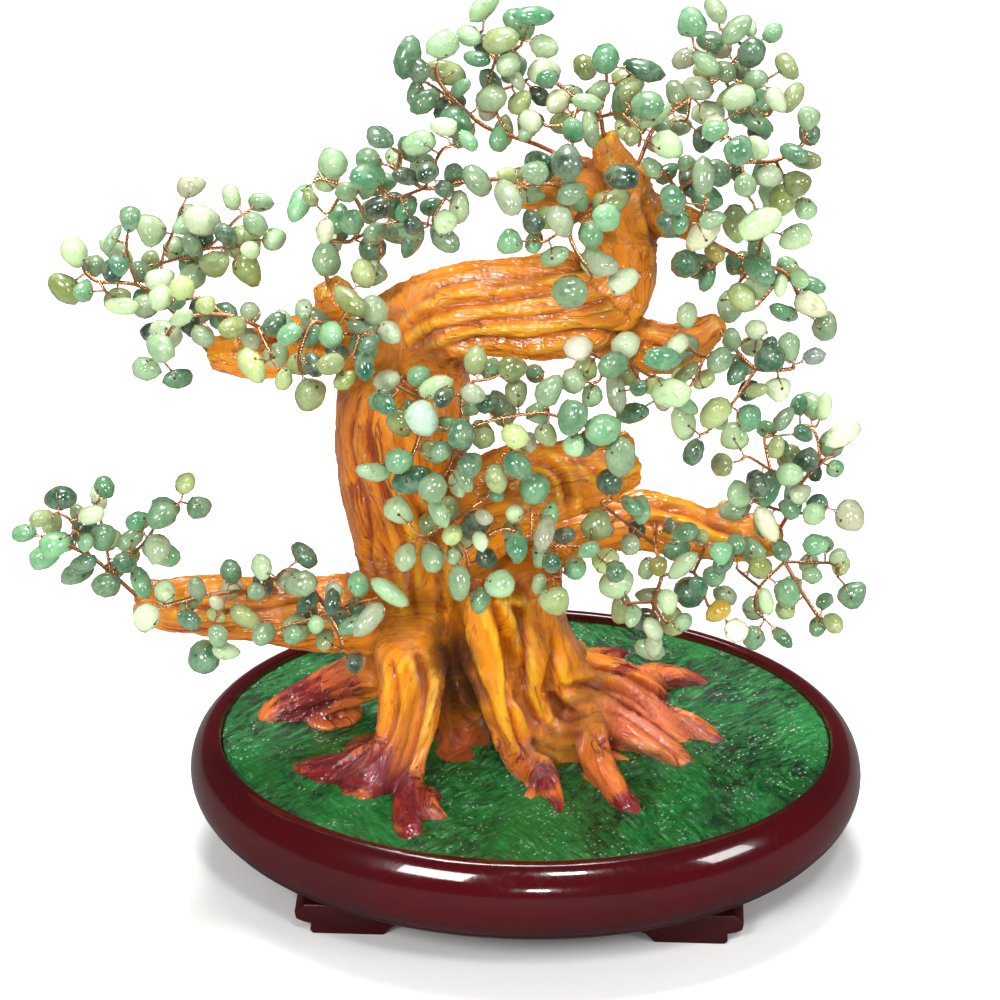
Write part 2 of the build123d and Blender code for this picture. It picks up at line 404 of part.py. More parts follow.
class Crowd:
    """What is placed so far: beads for wood and wire, ovals for stones, each at rest and bent both ways."""

    pose_pairs = ((0, 0), (1, 0), (2, 0), (0, 1), (0, 2), (1, 1), (2, 2))

    def __init__(self):
        self.bends = {}
        self.bead_at = np.zeros((0, 3, 3))
        self.bead_radius = np.zeros(0)
        self.bead_owner = np.zeros(0, dtype=object)
        self.stone_at = np.zeros((0, 3, 3))
        self.stone_shape = np.zeros((0, 3, 3, 3))
        self.stone_owner = np.zeros(0, dtype=object)

    def posed(self, owner, point, shape=None):
        """A point, and the oval round it, at rest and with its branch bent down and up."""
        if owner not in self.bends:
            return [point] * 3, [shape] * 3
        pivot, axis, sway = self.bends[owner]
        turns = [np.eye(3), turned(axis, -sway), turned(axis, sway)]
        points = [pivot + turn @ (point - pivot) for turn in turns]
        return points, [None if shape is None else shape @ turn.T for turn in turns]

    def add_beads(self, owner, beads):
        places = [self.posed(owner, centre)[0] for centre, radius in beads]
        self.bead_at = np.concatenate([self.bead_at, places])
        self.bead_radius = np.append(self.bead_radius, [radius for centre, radius in beads])
        self.bead_owner = np.append(self.bead_owner, [owner] * len(beads))

    def add_stone(self, owner, centre, shape):
        points, shapes = self.posed(owner, centre, shape)
        self.stone_at = np.concatenate([self.stone_at, [points]])
        self.stone_shape = np.concatenate([self.stone_shape, [shapes]])
        self.stone_owner = np.append(self.stone_owner, owner)

    def room_for_stone(self, owner, centre, shape):
        points, shapes = self.posed(owner, centre, shape)
        for mine, theirs in self.pose_pairs:
            resting = mine == theirs == 0
            others = self.bead_owner != owner
            margin = np.where(self.bead_owner == "tree", limb_clearance,
                              np.where(others, branch_clearance, stone_clearance))
            offset = self.bead_at[:, theirs] - points[mine]
            distance = np.linalg.norm(offset, axis=1)
            width = np.linalg.norm(offset / distance[:, None] @ shapes[mine].T, axis=1)
            if np.any((distance < width + self.bead_radius + margin) & (others | resting)):
                return False
            if len(self.stone_at):
                others = self.stone_owner != owner
                margin = np.where(others, branch_clearance, stone_clearance)
                offset = self.stone_at[:, theirs] - points[mine]
                distance = np.linalg.norm(offset, axis=1)
                way = offset / distance[:, None]
                width = np.linalg.norm(way @ shapes[mine].T, axis=1)
                width += np.linalg.norm(np.einsum("nij,nj->ni", self.stone_shape[:, theirs], way), axis=1)
                if np.any((distance < width + margin) & (others | resting)):
                    return False
        return True

    def room_for_twig(self, owner, beads):
        for centre, radius in beads:
            points = self.posed(owner, centre)[0]
            for mine, theirs in self.pose_pairs:
                resting = mine == theirs == 0
                others = self.bead_owner != owner
                distance = np.linalg.norm(self.bead_at[:, theirs] - points[mine], axis=1)
                if np.any((distance < self.bead_radius + radius + branch_clearance) & others):
                    return False
                if len(self.stone_at):
                    others = self.stone_owner != owner
                    margin = np.where(others, branch_clearance, stone_clearance)
                    offset = self.stone_at[:, theirs] - points[mine]
                    distance = np.linalg.norm(offset, axis=1)
                    way = offset / distance[:, None]
                    width = np.linalg.norm(np.einsum("nij,nj->ni", self.stone_shape[:, theirs], way), axis=1)
                    if np.any((distance < width + radius + margin) & (others | resting)):
                        return False
        return True


def stations_along(stem, first, pitch):
    """Places along a stem a pitch apart, each with the stem's direction and its share of the length."""
    lengths = [np.linalg.norm(b - a) for a, b in zip(stem, stem[1:])]
    total = sum(lengths)
    places = []
    travelled = first
    while travelled <= total:
        left = travelled
        for a, b, length in zip(stem, stem[1:], lengths):
            if left <= length:
                break
            left -= length
        places.append((a + unit(b - a) * min(left, length), unit(b - a), travelled / total))
        travelled += pitch
    places.append((stem[-1], unit(stem[-1] - stem[-2]), 1))
    return places


def drawn_stone(draw, heading):
    """A stone's three half axes as rows, its longest one first, leaning along or across its twig."""
    half_long = draw.uniform(stone_shortest, stone_longest) / 2
    half_wide = half_long * draw.uniform(*stone_width_shares)
    half_thick = half_wide * draw.uniform(*stone_thickness_shares)
    across = unit(np.cross(heading, [draw.gauss(0, 1) for _ in range(3)]))
    along = unit(heading * draw.uniform(-1, 1) + across * draw.uniform(-1, 1))
    sideways = unit(np.cross(along, [draw.gauss(0, 1) for _ in range(3)]))
    return np.array([along * half_long, sideways * half_wide, np.cross(along, sideways) * half_thick])


def grown_branches():
    """Every branch's stems, and its stones with their twigs, packed so that nothing meets when it bends."""
    crowd = Crowd()
    for stations in limb_shares.values():
        for low, high in zip(stations, stations[1:]):
            radii = low[3] * trunk_girth, high[3] * trunk_girth
            crowd.add_beads("tree", beads_along(tree_point(low), tree_point(high), *radii, min(radii) / 2))
    branches = {}
    for name, routes in stem_shares.items():
        bottom, pivot, heading, axis = roots[name]
        crowd.add_beads("tree", beads_along(bottom, pivot, root_radius, root_radius, bead_pitch))
        crowd.bends[name] = (pivot, axis, sways[name])
        stems = [[tree_point(station) for station in route] for route in routes]
        stems[0][0] = pivot
        for stem in stems:
            back = stem[-2] - stem[-1]
            stem[-1] = stem[-1] + back * min(longest_setback_share, tip_setback / np.linalg.norm(back))
        branches[name] = (stems, [])
        for stem in stems:
            for start, end in zip(stem, stem[1:]):
                crowd.add_beads(name, beads_along(start, end, stem_radius, stem_radius, bead_pitch))
    for name, (stems, stones) in branches.items():
        draw = random.Random(name)
        for stem in stems:
            offset = first_stone if stem is stems[0] else stone_pitch / 2
            spin = draw.uniform(0, 2 * math.pi)
            for place, heading, share in stations_along(stem, offset, stone_pitch):
                for attempt in range(twig_attempts):
                    spin += twig_turn + draw.uniform(-twig_turn_spread, twig_turn_spread)
                    lean = math.radians(draw.uniform(*(tip_leans if share == 1 else side_leans)))
                    across = unit(np.cross(heading, level_hint))
                    outward = math.cos(spin) * across + math.sin(spin) * np.cross(heading, across)
                    way = math.cos(lean) * heading + math.sin(lean) * outward
                    shape = drawn_stone(draw, way)
                    reach = np.linalg.norm(shape @ way)
                    spare = (twig_longest - twig_shortest) * attempt / twig_attempts
                    twig = stem_radius + twig_shortest + draw.uniform(0, spare)
                    centre = place + way * (twig + reach)
                    beads = beads_along(place + way * 2 * stem_radius, place + way * twig,
                                        twig_radius, twig_radius, bead_pitch)
                    if crowd.room_for_stone(name, centre, shape) and crowd.room_for_twig(name, beads):
                        corners = draw.choice(corner_counts)
                        lengths = [draw.uniform(*corner_shares) for _ in range(corners)]
                        stones.append((place, way, centre, shape, lengths))
                        crowd.add_stone(name, centre, shape)
                        crowd.add_beads(name, beads)
                        break
    return branches


def cut_stone(centre, shape, corner_lengths):
    """A flat-sided stone inside its oval: a girdle of corners between two smaller flats."""
    rings = []
    for height, size in ((-flat_height_share, flat_size_share), (0, 1), (flat_height_share, flat_size_share)):
        ring = []
        for step, length in enumerate(corner_lengths):
            angle = 2 * math.pi * step / len(corner_lengths)
            local = (size * length * math.cos(angle), size * length * math.sin(angle), height)
            ring.append(Vector(*(centre + local @ shape)))
        rings.append(ring)
    sides = [Face(Wire.make_polygon(rings[0][::-1])), Face(Wire.make_polygon(rings[-1]))]
    for low, high in zip(rings, rings[1:]):
        for step in range(len(corner_lengths)):
            after = (step + 1) % len(corner_lengths)
            sides.append(Face(Wire.make_polygon([low[step], low[after], high[after], high[step]])))
    return Solid(Shell(sides))


def rod(start, end, radius, sides):
    """A flat-sided rod from one point to another."""
    base = Plane(Vector(*start), z_dir=Vector(*(end - start)))
    with BuildSketch(base, mode=Mode.PRIVATE) as section:
        RegularPolygon(radius, sides)
    return extrude(section.sketch, amount=float(np.linalg.norm(end - start)), mode=Mode.PRIVATE)


def oval_sections(profile, clearance):
    """Oval faces up a wall, given as (height, inset from the pot's outline) pairs."""
    faces = []
    for height, inset in profile:
        with BuildSketch(Plane.XY.offset(height), mode=Mode.PRIVATE) as section:
            Ellipse(half_length - inset - clearance, half_width - inset - clearance)
        faces.append(section.sketch.face())
    return faces


def cavity_inset(height):
    """How far the cavity's wall lies inside the pot's outline at a height."""
    for (low, low_inset), (high, high_inset) in zip(cavity, cavity[1:]):
        if height <= high:
            return low_inset + (high_inset - low_inset) * (height - low) / (high - low)


roots = {name: root_and_bend(name) for name in stem_shares}
belly = [(height * pot_height, inset * belly_inset) for height, inset in belly_shares]
cavity = [(floor_level + height * (pot_height - floor_level), rim_width + inset * cavity_taper)
          for height, inset in cavity_shares]

with BuildPart() as pot:
    loft(oval_sections(belly, 0))
    fillet(pot.faces().sort_by(Axis.Z)[-1].edges(), rim_roll)
    loft(oval_sections(cavity, 0), mode=Mode.SUBTRACT)
    foot_front = half_width - foot_setback
    outer = foot_spacing / 2 + foot_length / 2
    inner = outer - foot_length
    tail = inner - foot_tail
    curve_x = inner - foot_tail * foot_curve_shares[0]
    curve_z = pad_height * foot_curve_shares[1]
    for side in (1, -1):
        with BuildSketch(Plane.XZ.offset(side * foot_front)):
            with BuildLine():
                Polyline((inner, 0), (outer, 0), (outer, pad_height), (outer + foot_step, foot_height),
                         (outer + foot_step, foot_height + step_rise), (tail, foot_height + step_rise),
                         (tail, foot_height))
                ThreePointArc((tail, foot_height), (curve_x, curve_z), (inner, 0))
            make_face()
            mirror(about=Plane.YZ)
        extrude(amount=-side * foot_depth)

with BuildPart() as plaster_fill:
    plaster = [(height, inset) for height, inset in cavity if floor_level < height < plaster_level]
    plaster.insert(0, (floor_level + cast_gap, cavity_inset(floor_level + cast_gap)))
    plaster.append((plaster_level, cavity_inset(plaster_level)))
    loft(oval_sections(plaster, plaster_gap))

with BuildPart() as trunk_casting:
    limbs = []
    for stations in limb_shares.values():
        points = [Vector(*tree_point(station)) for station in stations]
        sections = []
        for step, station in enumerate(stations):
            heading = points[min(step + 1, len(points) - 1)] - points[max(step - 1, 0)]
            level_side = Vector(0, 1, 0).cross(heading).normalized()
            base = Plane(points[step], x_dir=level_side, z_dir=heading)
            with BuildSketch(base, mode=Mode.PRIVATE) as section:
                Circle(station[3] * trunk_girth)
            sections.append(section.sketch.face())
        limbs.append(loft(sections, mode=Mode.PRIVATE))
    add(limbs)
    split(bisect_by=Plane.XY.offset(plaster_level), keep=Keep.TOP)
    for bottom, pivot, heading, axis in roots.values():
        with BuildSketch(Plane(Vector(*bottom), z_dir=Vector(*heading))):
            Circle(root_radius + socket_gap)
        extrude(amount=float(np.linalg.norm(pivot - bottom)), mode=Mode.SUBTRACT)

with BuildPart() as turf:
    edges = [(height, cavity_inset(height)) for height in (plaster_level, turf_level)]
    loft(oval_sections(edges, plaster_gap))
    add(trunk_casting.part, mode=Mode.SUBTRACT)
    crust = turf.part.solids().sort_by(SortBy.VOLUME)[-1]
    add(crust, mode=Mode.REPLACE)

with BuildPart() as wire_roots:
    for bottom, pivot, heading, axis in roots.values():
        with BuildSketch(Plane(Vector(*bottom), z_dir=Vector(*heading))):
            Circle(root_radius)
        extrude(amount=float(np.linalg.norm(pivot - bottom)))

os.makedirs("parts", exist_ok=True)
fixed = {"pot": pot, "plaster_fill": plaster_fill, "turf": turf, "trunk_casting": trunk_casting,
         "wire_roots": wire_roots}
for label, piece in fixed.items():
    piece.part.label = label
    export_step(piece.part, f"parts/{label}.step")

bend_gap = stem_radius * math.sin(math.radians(widest_sway)) + bend_clearance
stone_count = 0
for name, (stems, stones) in grown_branches().items():
    with BuildPart() as branch_stones:
        add([cut_stone(centre, shape, lengths) for place, way, centre, shape, lengths in stones])
    with BuildPart() as branch_wire:
        rods = []
        for stem in stems:
            for start, end in zip(stem, stem[1:]):
                heading = unit(end - start)
                near = bend_gap if stem is stems[0] and start is stem[0] else -stem_radius / 2
                far = end + heading * stem_radius / 2
                rods.append(rod(start + heading * near, far, stem_radius, stem_sides))
        for place, way, centre, shape, lengths in stones:
            inside = np.linalg.norm(shape @ way) * twig_seat_share
            rods.append(rod(place, centre - way * inside, twig_radius, twig_sides))
        add(rods)
        add(branch_stones.part, mode=Mode.SUBTRACT)
    stone_count += len(stones)
    for label, piece in ((f"{name}_wire", branch_wire), (f"{name}_stones", branch_stones)):
        piece.part.label = label
        export_step(piece.part, f"parts/{label}.step")
print("stones", stone_count)
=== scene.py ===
import json
import math
import random

import bmesh
import bpy
import numpy as np
from bpy.props import FloatProperty, FloatVectorProperty, PointerProperty
from mathutils import Matrix, Vector, noise
from mathutils.bvhtree import BVHTree


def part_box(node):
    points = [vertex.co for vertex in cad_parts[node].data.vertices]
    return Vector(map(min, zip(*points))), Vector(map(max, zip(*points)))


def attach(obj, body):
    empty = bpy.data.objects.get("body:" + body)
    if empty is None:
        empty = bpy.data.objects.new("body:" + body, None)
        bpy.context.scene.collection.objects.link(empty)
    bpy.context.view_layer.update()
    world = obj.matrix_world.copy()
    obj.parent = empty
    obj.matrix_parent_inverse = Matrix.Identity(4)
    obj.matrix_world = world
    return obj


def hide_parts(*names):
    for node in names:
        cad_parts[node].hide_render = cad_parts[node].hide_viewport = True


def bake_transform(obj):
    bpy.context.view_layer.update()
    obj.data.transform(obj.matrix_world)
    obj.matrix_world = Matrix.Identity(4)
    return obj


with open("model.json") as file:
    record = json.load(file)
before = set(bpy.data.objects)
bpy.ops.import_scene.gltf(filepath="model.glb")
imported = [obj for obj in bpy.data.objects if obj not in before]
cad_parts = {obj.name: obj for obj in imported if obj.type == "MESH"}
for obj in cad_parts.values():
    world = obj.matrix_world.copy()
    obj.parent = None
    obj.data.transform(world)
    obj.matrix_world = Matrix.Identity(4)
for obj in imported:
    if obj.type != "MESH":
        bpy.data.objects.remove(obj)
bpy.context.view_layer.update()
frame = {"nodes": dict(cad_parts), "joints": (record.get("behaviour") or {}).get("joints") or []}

bl_info = {
    "name": "Gemstone Tree",
    "version": (1, 0, 0),
    "blender": (4, 5, 0),
    "location": "3D View > Sidebar > Gemstone Tree",
    "description": "Builds a gemstone tree ornament piece by piece over its packed solids",
    "category": "Object",
}

# One millimetre, and the sizes that the limbs and stems below are shares of
MM = 0.001
LIMB_REACH = 110 * MM
TREE_RISE = 200 * MM
TRUNK_GIRTH = 23 * MM
TURF_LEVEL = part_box("turf")[1].z
POT_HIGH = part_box("pot")[1]

# The limbs and roots, as stations along each: x and y in hundredths of the limbs' reach, the height above
# the turf in hundredths of the tree's rise, and the radius there in hundredths of the trunk's girth
LIMBS = {
    "trunk": [(-15, 13, -4, 125), (-17, 12, 6, 113), (-22, 6, 18, 109), (-31, 2, 34, 104), (-37, 0, 48, 96),
        (-39, 0, 60, 98), (-38, 0, 71, 96), (-34, 0, 82, 66)],
    "shoulder": [(-56, 0, 79, 44), (-44, 0, 80, 61), (-30, 0, 83, 68), (-14, -2, 86, 70), (3, -3, 87, 76),
        (18, -3, 89, 74), (28, -2, 94, 57), (28, 0, 102, 50), (28, 0, 108, 46), (25, 2, 113, 28),
        (23, 3, 117, 17)],
    "crown_left": [(26, 0, 105, 39), (16, -4, 108, 39), (5, -7, 110, 35), (-6, -9, 110, 26)],
    "crown_left_upper": [(22, 0, 107, 30), (15, 4, 110, 26), (9, 5, 113, 20)],
    "crown_right": [(31, 0, 104, 39), (40, 2, 103, 30), (49, 4, 101, 24), (55, 5, 98, 17)],
    "right_short": [(19, 0, 83, 52), (35, -2, 80, 39), (45, -4, 80, 35), (54, -5, 83, 26),
        (59, -5, 86, 17)],
    "middle_stub": [(-32, -2, 34, 78), (-19, -7, 45, 74), (-5, -13, 54, 67), (11, -13, 57, 61),
        (23, -9, 58, 52), (34, -5, 59, 41)],
    "lower_right": [(-23, 0, 31, 74), (-2, 2, 38, 57), (17, 5, 42, 48), (36, 7, 43, 46), (52, 7, 41, 41),
        (68, 7, 40, 37), (82, 7, 39, 20)],
    "lower_right_spike": [(59, 7, 40, 28), (64, 7, 47, 11)],
    "mid_left": [(-42, 0, 78, 60), (-58, 2, 79, 55), (-71, 4, 77, 43), (-85, 5, 75, 35), (-99, 7, 74, 24)],
    "mid_left_nub": [(-54, 0, 80, 40), (-58, 2, 85, 34), (-61, 3, 89, 22)],
    "lower_left": [(-37, 0, 28, 74), (-53, -4, 26, 65), (-72, -7, 27, 54), (-91, -11, 29, 48),
        (-110, -13, 30, 43), (-124, -14, 32, 30)],
    "left_leg": [(-31, -9, 31, 61), (-38, -15, 22, 50), (-38, -20, 14, 41), (-40, -27, 6, 39),
        (-46, -34, 2, 35), (-57, -37, -1, 22)],
    "left_leg_toe": [(-41, -26, 5, 35), (-52, -29, 3, 30), (-64, -28, 1, 26), (-74, -24, -1, 15)],
    "thin_root": [(-30, -16, 23, 26), (-30, -24, 16, 22), (-33, -31, 9, 21), (-36, -39, 3, 22),
        (-36, -51, 1, 22), (-30, -62, -1, 10)],
    "thin_root_toe": [(-35, -40, 2, 22), (-28, -49, 1, 18), (-21, -54, -1, 9)],
    "left_back": [(-31, 0, 19, 52), (-49, 2, 12, 43), (-63, 8, 6, 37), (-77, 8, 2, 32), (-87, 3, -1, 18)],
    "middle_root": [(-11, -13, 35, 57), (-13, -17, 27, 43), (-10, -20, 18, 35), (-5, -23, 10, 30),
        (-1, -24, 4, 26), (6, -26, 1, 28)],
    "middle_root_toe": [(4, -25, 2, 26), (10, -37, 1, 18), (15, -53, -1, 9)],
    "cord_root": [(-5, -10, 34, 39), (-1, -12, 25, 30), (2, -15, 15, 28), (6, -15, 7, 26), (13, -13, 4, 26),
        (21, -7, 5, 28)],
    "right_body": [(-3, -2, 33, 74), (1, -2, 24, 61), (6, -1, 16, 57), (16, 5, 6, 52), (35, 7, -1, 40)],
    "cut_stub": [(6, 4, 19, 30), (18, 5, 15, 20)],
    "fan_back": [(11, 17, 7, 39), (27, 20, 6, 28), (39, 20, 3, 24), (46, 17, -1, 15)],
    "fan_back_tip": [(33, 22, 3, 24), (49, 30, 2, 21), (65, 29, -1, 8)],
    "fan_side": [(15, 4, 7, 35), (29, 8, 6, 28), (41, 3, 3, 24), (52, -5, -1, 15)],
    "fan_side_tip": [(41, 7, 3, 22), (56, 1, 1, 20), (70, -7, -1, 8)],
    "fan_front": [(18, -2, 6, 32), (29, -5, 5, 29), (40, -10, 3, 26), (56, -17, -1, 9)],
    "front_root": [(20, -6, 6, 30), (23, -19, 4, 27), (28, -31, 2, 24), (38, -48, -1, 13)],
    "back_root": [(10, 22, 5, 32), (22, 38, 2, 22), (37, 52, -1, 9)],
    "rear_root": [(-20, 20, 10, 45), (-30, 36, 3, 32), (-44, 50, -1, 12)],
    "root_web": [(2, -10, -1, 70), (22, -8, -2, 55), (42, -14, -3, 30)],
}

# The stems of each wire branch: x and y in hundredths of the limbs' reach, the height above the turf in
# hundredths of the tree's rise. The first stem starts at the limb, and most of the others start with a pair,
# which names the earlier stem that they fork from and its point there
STEMS = {
    "lower_left_far": [
        [(-125, -14, 33), (-131, -15, 37), (-137, -17, 41), (-146, -18, 44), (-156, -18, 46)],
        [(0, 1), (-134, -7, 43), (-137, -4, 50)],
        [(0, 1), (-119, -25, 46), (-111, -27, 53), (-102, -27, 57)],
        [(0, 2), (-140, -27, 51), (-147, -29, 55)],
    ],
    "lower_left_near": [
        [(-83, -18, 35), (-91, -31, 39), (-102, -35, 39), (-116, -33, 36)],
        [(0, 1), (-96, -36, 34), (-97, -35, 29)],
        [(-87, -25, 37), (-77, -31, 42), (-70, -33, 46)],
    ],
    "lower_left_inner": [
        [(-65, -18, 34), (-60, -33, 36), (-56, -38, 32), (-57, -38, 28)],
        [(0, 1), (-51, -38, 40), (-42, -40, 42)],
        [(0, 1), (-69, -36, 35), (-78, -38, 34)],
    ],
    "mid_left_far": [
        [(-99, 7, 74), (-105, 9, 78), (-113, 9, 83), (-121, 7, 87), (-132, 5, 88), (-140, 5, 91)],
        [(0, 2), (-114, 15, 89), (-109, 16, 96), (-105, 16, 102)],
        [(0, 3), (-122, 0, 95), (-121, -2, 101)],
        [(1, 1), (-99, 7, 94), (-89, 5, 100), (-81, 7, 103)],
        [(3, 1), (-88, 2, 96), (-79, 2, 98)],
        [(0, 4), (-127, -4, 87)],
    ],
    "mid_left_near": [
        [(-78, -2, 79), (-81, -13, 85), (-91, -16, 88), (-104, -16, 87), (-111, -15, 81), (-110, -13, 76)],
        [(0, 2), (-98, -9, 89), (-109, -7, 88)],
        [(0, 1), (-77, -24, 84), (-75, -25, 80)],
    ],
    "mid_left_inner": [
        [(-57, -9, 81), (-57, -22, 87), (-63, -27, 90), (-67, -29, 85), (-67, -29, 79)],
        [(0, 1), (-52, -20, 92), (-52, -18, 95)],
        [(0, 1), (-49, -31, 89), (-42, -33, 91)],
        [(2, 1), (-51, -33, 86), (-59, -33, 83)],
    ],
    "upper_left": [
        [(-61, 3, 89), (-63, 3, 93), (-60, 2, 97), (-53, 0, 98), (-50, 0, 103), (-55, 2, 107),
         (-62, 4, 108), (-69, 4, 107)],
        [(0, 3), (-43, -4, 102), (-35, -5, 103), (-25, -5, 102)],
        [(0, 4), (-44, 7, 104), (-48, 9, 107)],
        [(0, 5), (-59, -7, 105), (-64, -9, 105)],
        [(1, 1), (-44, -7, 98), (-44, -7, 96)],
    ],
    "top_left": [
        [(9, 5, 113), (2, 4, 115), (-6, 2, 117), (-13, 0, 119), (-20, -2, 123), (-26, -2, 127),
         (-28, -2, 132)],
        [(0, 2), (-12, 7, 123), (-10, 7, 129), (-6, 7, 135)],
        [(1, 2), (-3, 4, 132), (0, 4, 135)],
        [(1, 2), (-15, 11, 132), (-12, 11, 135)],
        [(0, 4), (-28, 3, 125), (-35, 5, 127)],
        [(1, 1), (-3, 11, 124), (3, 11, 126)],
    ],
    "left_crown": [
        [(-6, -9, 112), (-14, -11, 112), (-21, -13, 112), (-30, -13, 111), (-38, -13, 114),
         (-43, -13, 116)],
        [(0, 2), (-27, -16, 107), (-28, -16, 103)],
        [(0, 3), (-25, -20, 119), (-18, -22, 122)],
        [(0, 3), (-38, -20, 111), (-45, -22, 114)],
        [(0, 4), (-37, -17, 118), (-40, -20, 120)],
    ],
    "crown_front": [
        [(18, -13, 108), (14, -24, 108), (14, -29, 106), (19, -31, 102), (28, -31, 101)],
        [(0, 1), (6, -29, 106), (2, -29, 107)],
        [(0, 1), (10, -27, 115), (2, -29, 116), (-4, -29, 115)],
        [(2, 1), (14, -22, 119), (10, -18, 120)],
        [(0, 3), (22, -31, 98)],
        [(0, 1), (22, -27, 112), (26, -27, 116)],
    ],
    "top_centre": [
        [(23, 3, 116), (21, 0, 121), (15, -2, 124), (9, -2, 127), (3, -2, 128)],
        [(0, 1), (28, -13, 125), (33, -15, 127)],
        [(0, 2), (13, -13, 123), (7, -16, 123), (2, -16, 124)],
        [(0, 1), (23, 5, 125), (23, 5, 129), (30, 5, 128)],
        [(1, 1), (33, -18, 123), (33, -20, 118)],
    ],
    "top_right": [
        [(31, 5, 109), (38, 11, 117), (48, 11, 122), (57, 11, 126), (64, 11, 131), (71, 11, 133)],
        [(0, 3), (50, 2, 132), (46, 0, 135)],
        [(0, 4), (57, 5, 135), (54, 5, 137)],
        [(0, 3), (67, 4, 126), (74, 2, 129)],
        [(0, 3), (63, 18, 120), (71, 20, 117), (75, 20, 120)],
        [(0, 2), (47, 0, 121), (42, -4, 121)],
        [(3, 1), (64, -5, 124), (57, -7, 123)],
    ],
    "right_crown": [
        [(42, -4, 105), (45, -11, 111), (52, -15, 115), (63, -15, 117), (73, -13, 117), (80, -11, 119),
         (83, -11, 123)],
        [(0, 1), (41, -18, 115), (39, -20, 118)],
        [(0, 3), (65, -20, 113), (69, -20, 109)],
        [(0, 4), (78, -9, 111), (80, -9, 109)],
        [(0, 2), (53, -24, 113), (49, -24, 106)],
        [(0, 3), (59, -22, 123), (52, -24, 122)],
    ],
    "right_upper": [
        [(54, 5, 98), (60, 2, 97), (69, 0, 95), (78, -2, 94), (83, -2, 89), (87, -2, 84)],
        [(0, 2), (71, -5, 102), (77, -7, 103)],
        [(0, 1), (56, -7, 96), (52, -9, 98)],
        [(0, 3), (71, -7, 90), (65, -9, 87)],
        [(0, 2), (64, 7, 89), (67, 9, 85)],
    ],
    "right_mid": [
        [(58, -5, 85), (63, -13, 83), (70, -16, 80), (80, -16, 80), (83, -16, 82)],
        [(0, 1), (54, -20, 83), (47, -22, 87), (45, -22, 90)],
        [(0, 2), (64, -22, 76), (57, -24, 71), (50, -24, 68)],
        [(0, 1), (71, -7, 84), (77, -5, 84)],
        [(1, 1), (50, -25, 79), (43, -25, 77), (35, -25, 75)],
    ],
    "right_mid_inner": [
        [(35, -9, 82), (31, -24, 83), (24, -29, 85), (18, -31, 87)],
        [(0, 1), (36, -33, 81), (32, -35, 81)],
        [(0, 2), (23, -35, 83), (17, -36, 81)],
        [(0, 1), (38, -36, 84), (42, -38, 87)],
    ],
    "centre_front": [
        [(-36, -20, 77), (-31, -33, 78), (-30, -40, 75), (-33, -42, 70), (-41, -42, 66)],
        [(0, 1), (-37, -36, 81), (-37, -40, 80)],
        [(0, 2), (-18, -44, 76), (-6, -44, 78), (7, -44, 79), (20, -42, 76), (30, -40, 73)],
        [(2, 1), (-17, -42, 83), (-5, -40, 85)],
        [(2, 2), (-3, -44, 72), (-9, -44, 70)],
        [(2, 1), (-21, -45, 70), (-24, -45, 66), (-20, -44, 64)],
        [(2, 3), (7, -40, 83), (10, -38, 84)],
    ],
    "centre_lower": [
        [(-23, -22, 46), (-24, -35, 54), (-29, -40, 54), (-35, -42, 55)],
        [(0, 1), (-17, -42, 52), (-16, -44, 47), (-11, -45, 48)],
        [(1, 1), (-6, -44, 57), (3, -44, 55), (10, -44, 54), (21, -42, 53), (27, -42, 49)],
        [(0, 1), (-16, -42, 60), (-8, -42, 63)],
        [(2, 2), (3, -40, 59), (2, -40, 60)],
        [(2, 3), (12, -45, 49), (7, -45, 47)],
    ],
    "right_lower": [
        [(41, -5, 45), (41, -18, 46), (43, -24, 42), (41, -25, 37), (46, -25, 31)],
        [(0, 1), (31, -22, 52), (24, -24, 56), (31, -25, 58)],
        [(0, 2), (53, -22, 42), (58, -24, 36), (65, -24, 33)],
        [(0, 3), (33, -29, 38), (29, -31, 39)],
        [(2, 1), (56, -25, 48), (51, -27, 50)],
        [(0, 3), (40, -20, 30), (42, -18, 27)],
    ],
    "right_end": [
        [(78, 2, 40), (82, -5, 39), (87, -9, 35), (92, -11, 31), (97, -11, 28)],
        [(0, 1), (74, -15, 37), (73, -16, 33), (79, -16, 29)],
        [(0, 1), (92, -2, 38), (98, 0, 37), (101, 0, 32)],
        [(1, 1), (67, -20, 42), (66, -20, 44)],
    ],
    "right_far": [
        [(80, 7, 41), (83, 4, 46), (86, 0, 53), (92, -2, 58), (99, -2, 61)],
        [(0, 2), (76, -7, 58), (69, -9, 61), (63, -9, 59)],
        [(0, 3), (90, 4, 62), (85, 5, 63), (95, 5, 63)],
        [(1, 1), (74, -4, 63), (80, -2, 64)],
        [(0, 1), (91, -5, 49), (98, -7, 52)],
        [(0, 1), (74, -4, 50), (69, -5, 52)],
    ],
}

# The camera of the photograph, in metres, and its lens on a 36 mm sensor
CAMERA_PLACE = Vector((0.03432, -0.99538, 0.72040))
CAMERA_AIM = Vector((-0.00912, -0.00040, 0.14540))
CAMERA_LENS = 119.12
PICTURE = 1000
SENSOR = 36.0

# The lights: their names, places and sizes in metres and their watts, and where all of them point
LIGHTS = [("top_softbox", (-0.10, 0.30, 1.4), 0.58, 27.0), ("front_softbox", (-0.6, -1.3, 1.2), 0.50, 18.0),
          ("upper_flash", (0.25, -1.0, 1.5), 0.22, 9.0), ("lower_flash", (0.1, -1.5, 0.5), 0.14, 3.5),
          ("right_softbox", (1.2, -0.7, 0.9), 0.40, 8.0)]
LIGHTS_AIM = Vector((0, 0, 0.15))

# A distance beyond any that is measured here
FAR = 1e3

# Branches whose chips pass close to another branch's when bent, and how much smaller theirs are tumbled
CLOSE_CHIPS = {"right_end": 0.92, "right_lower": 0.95}

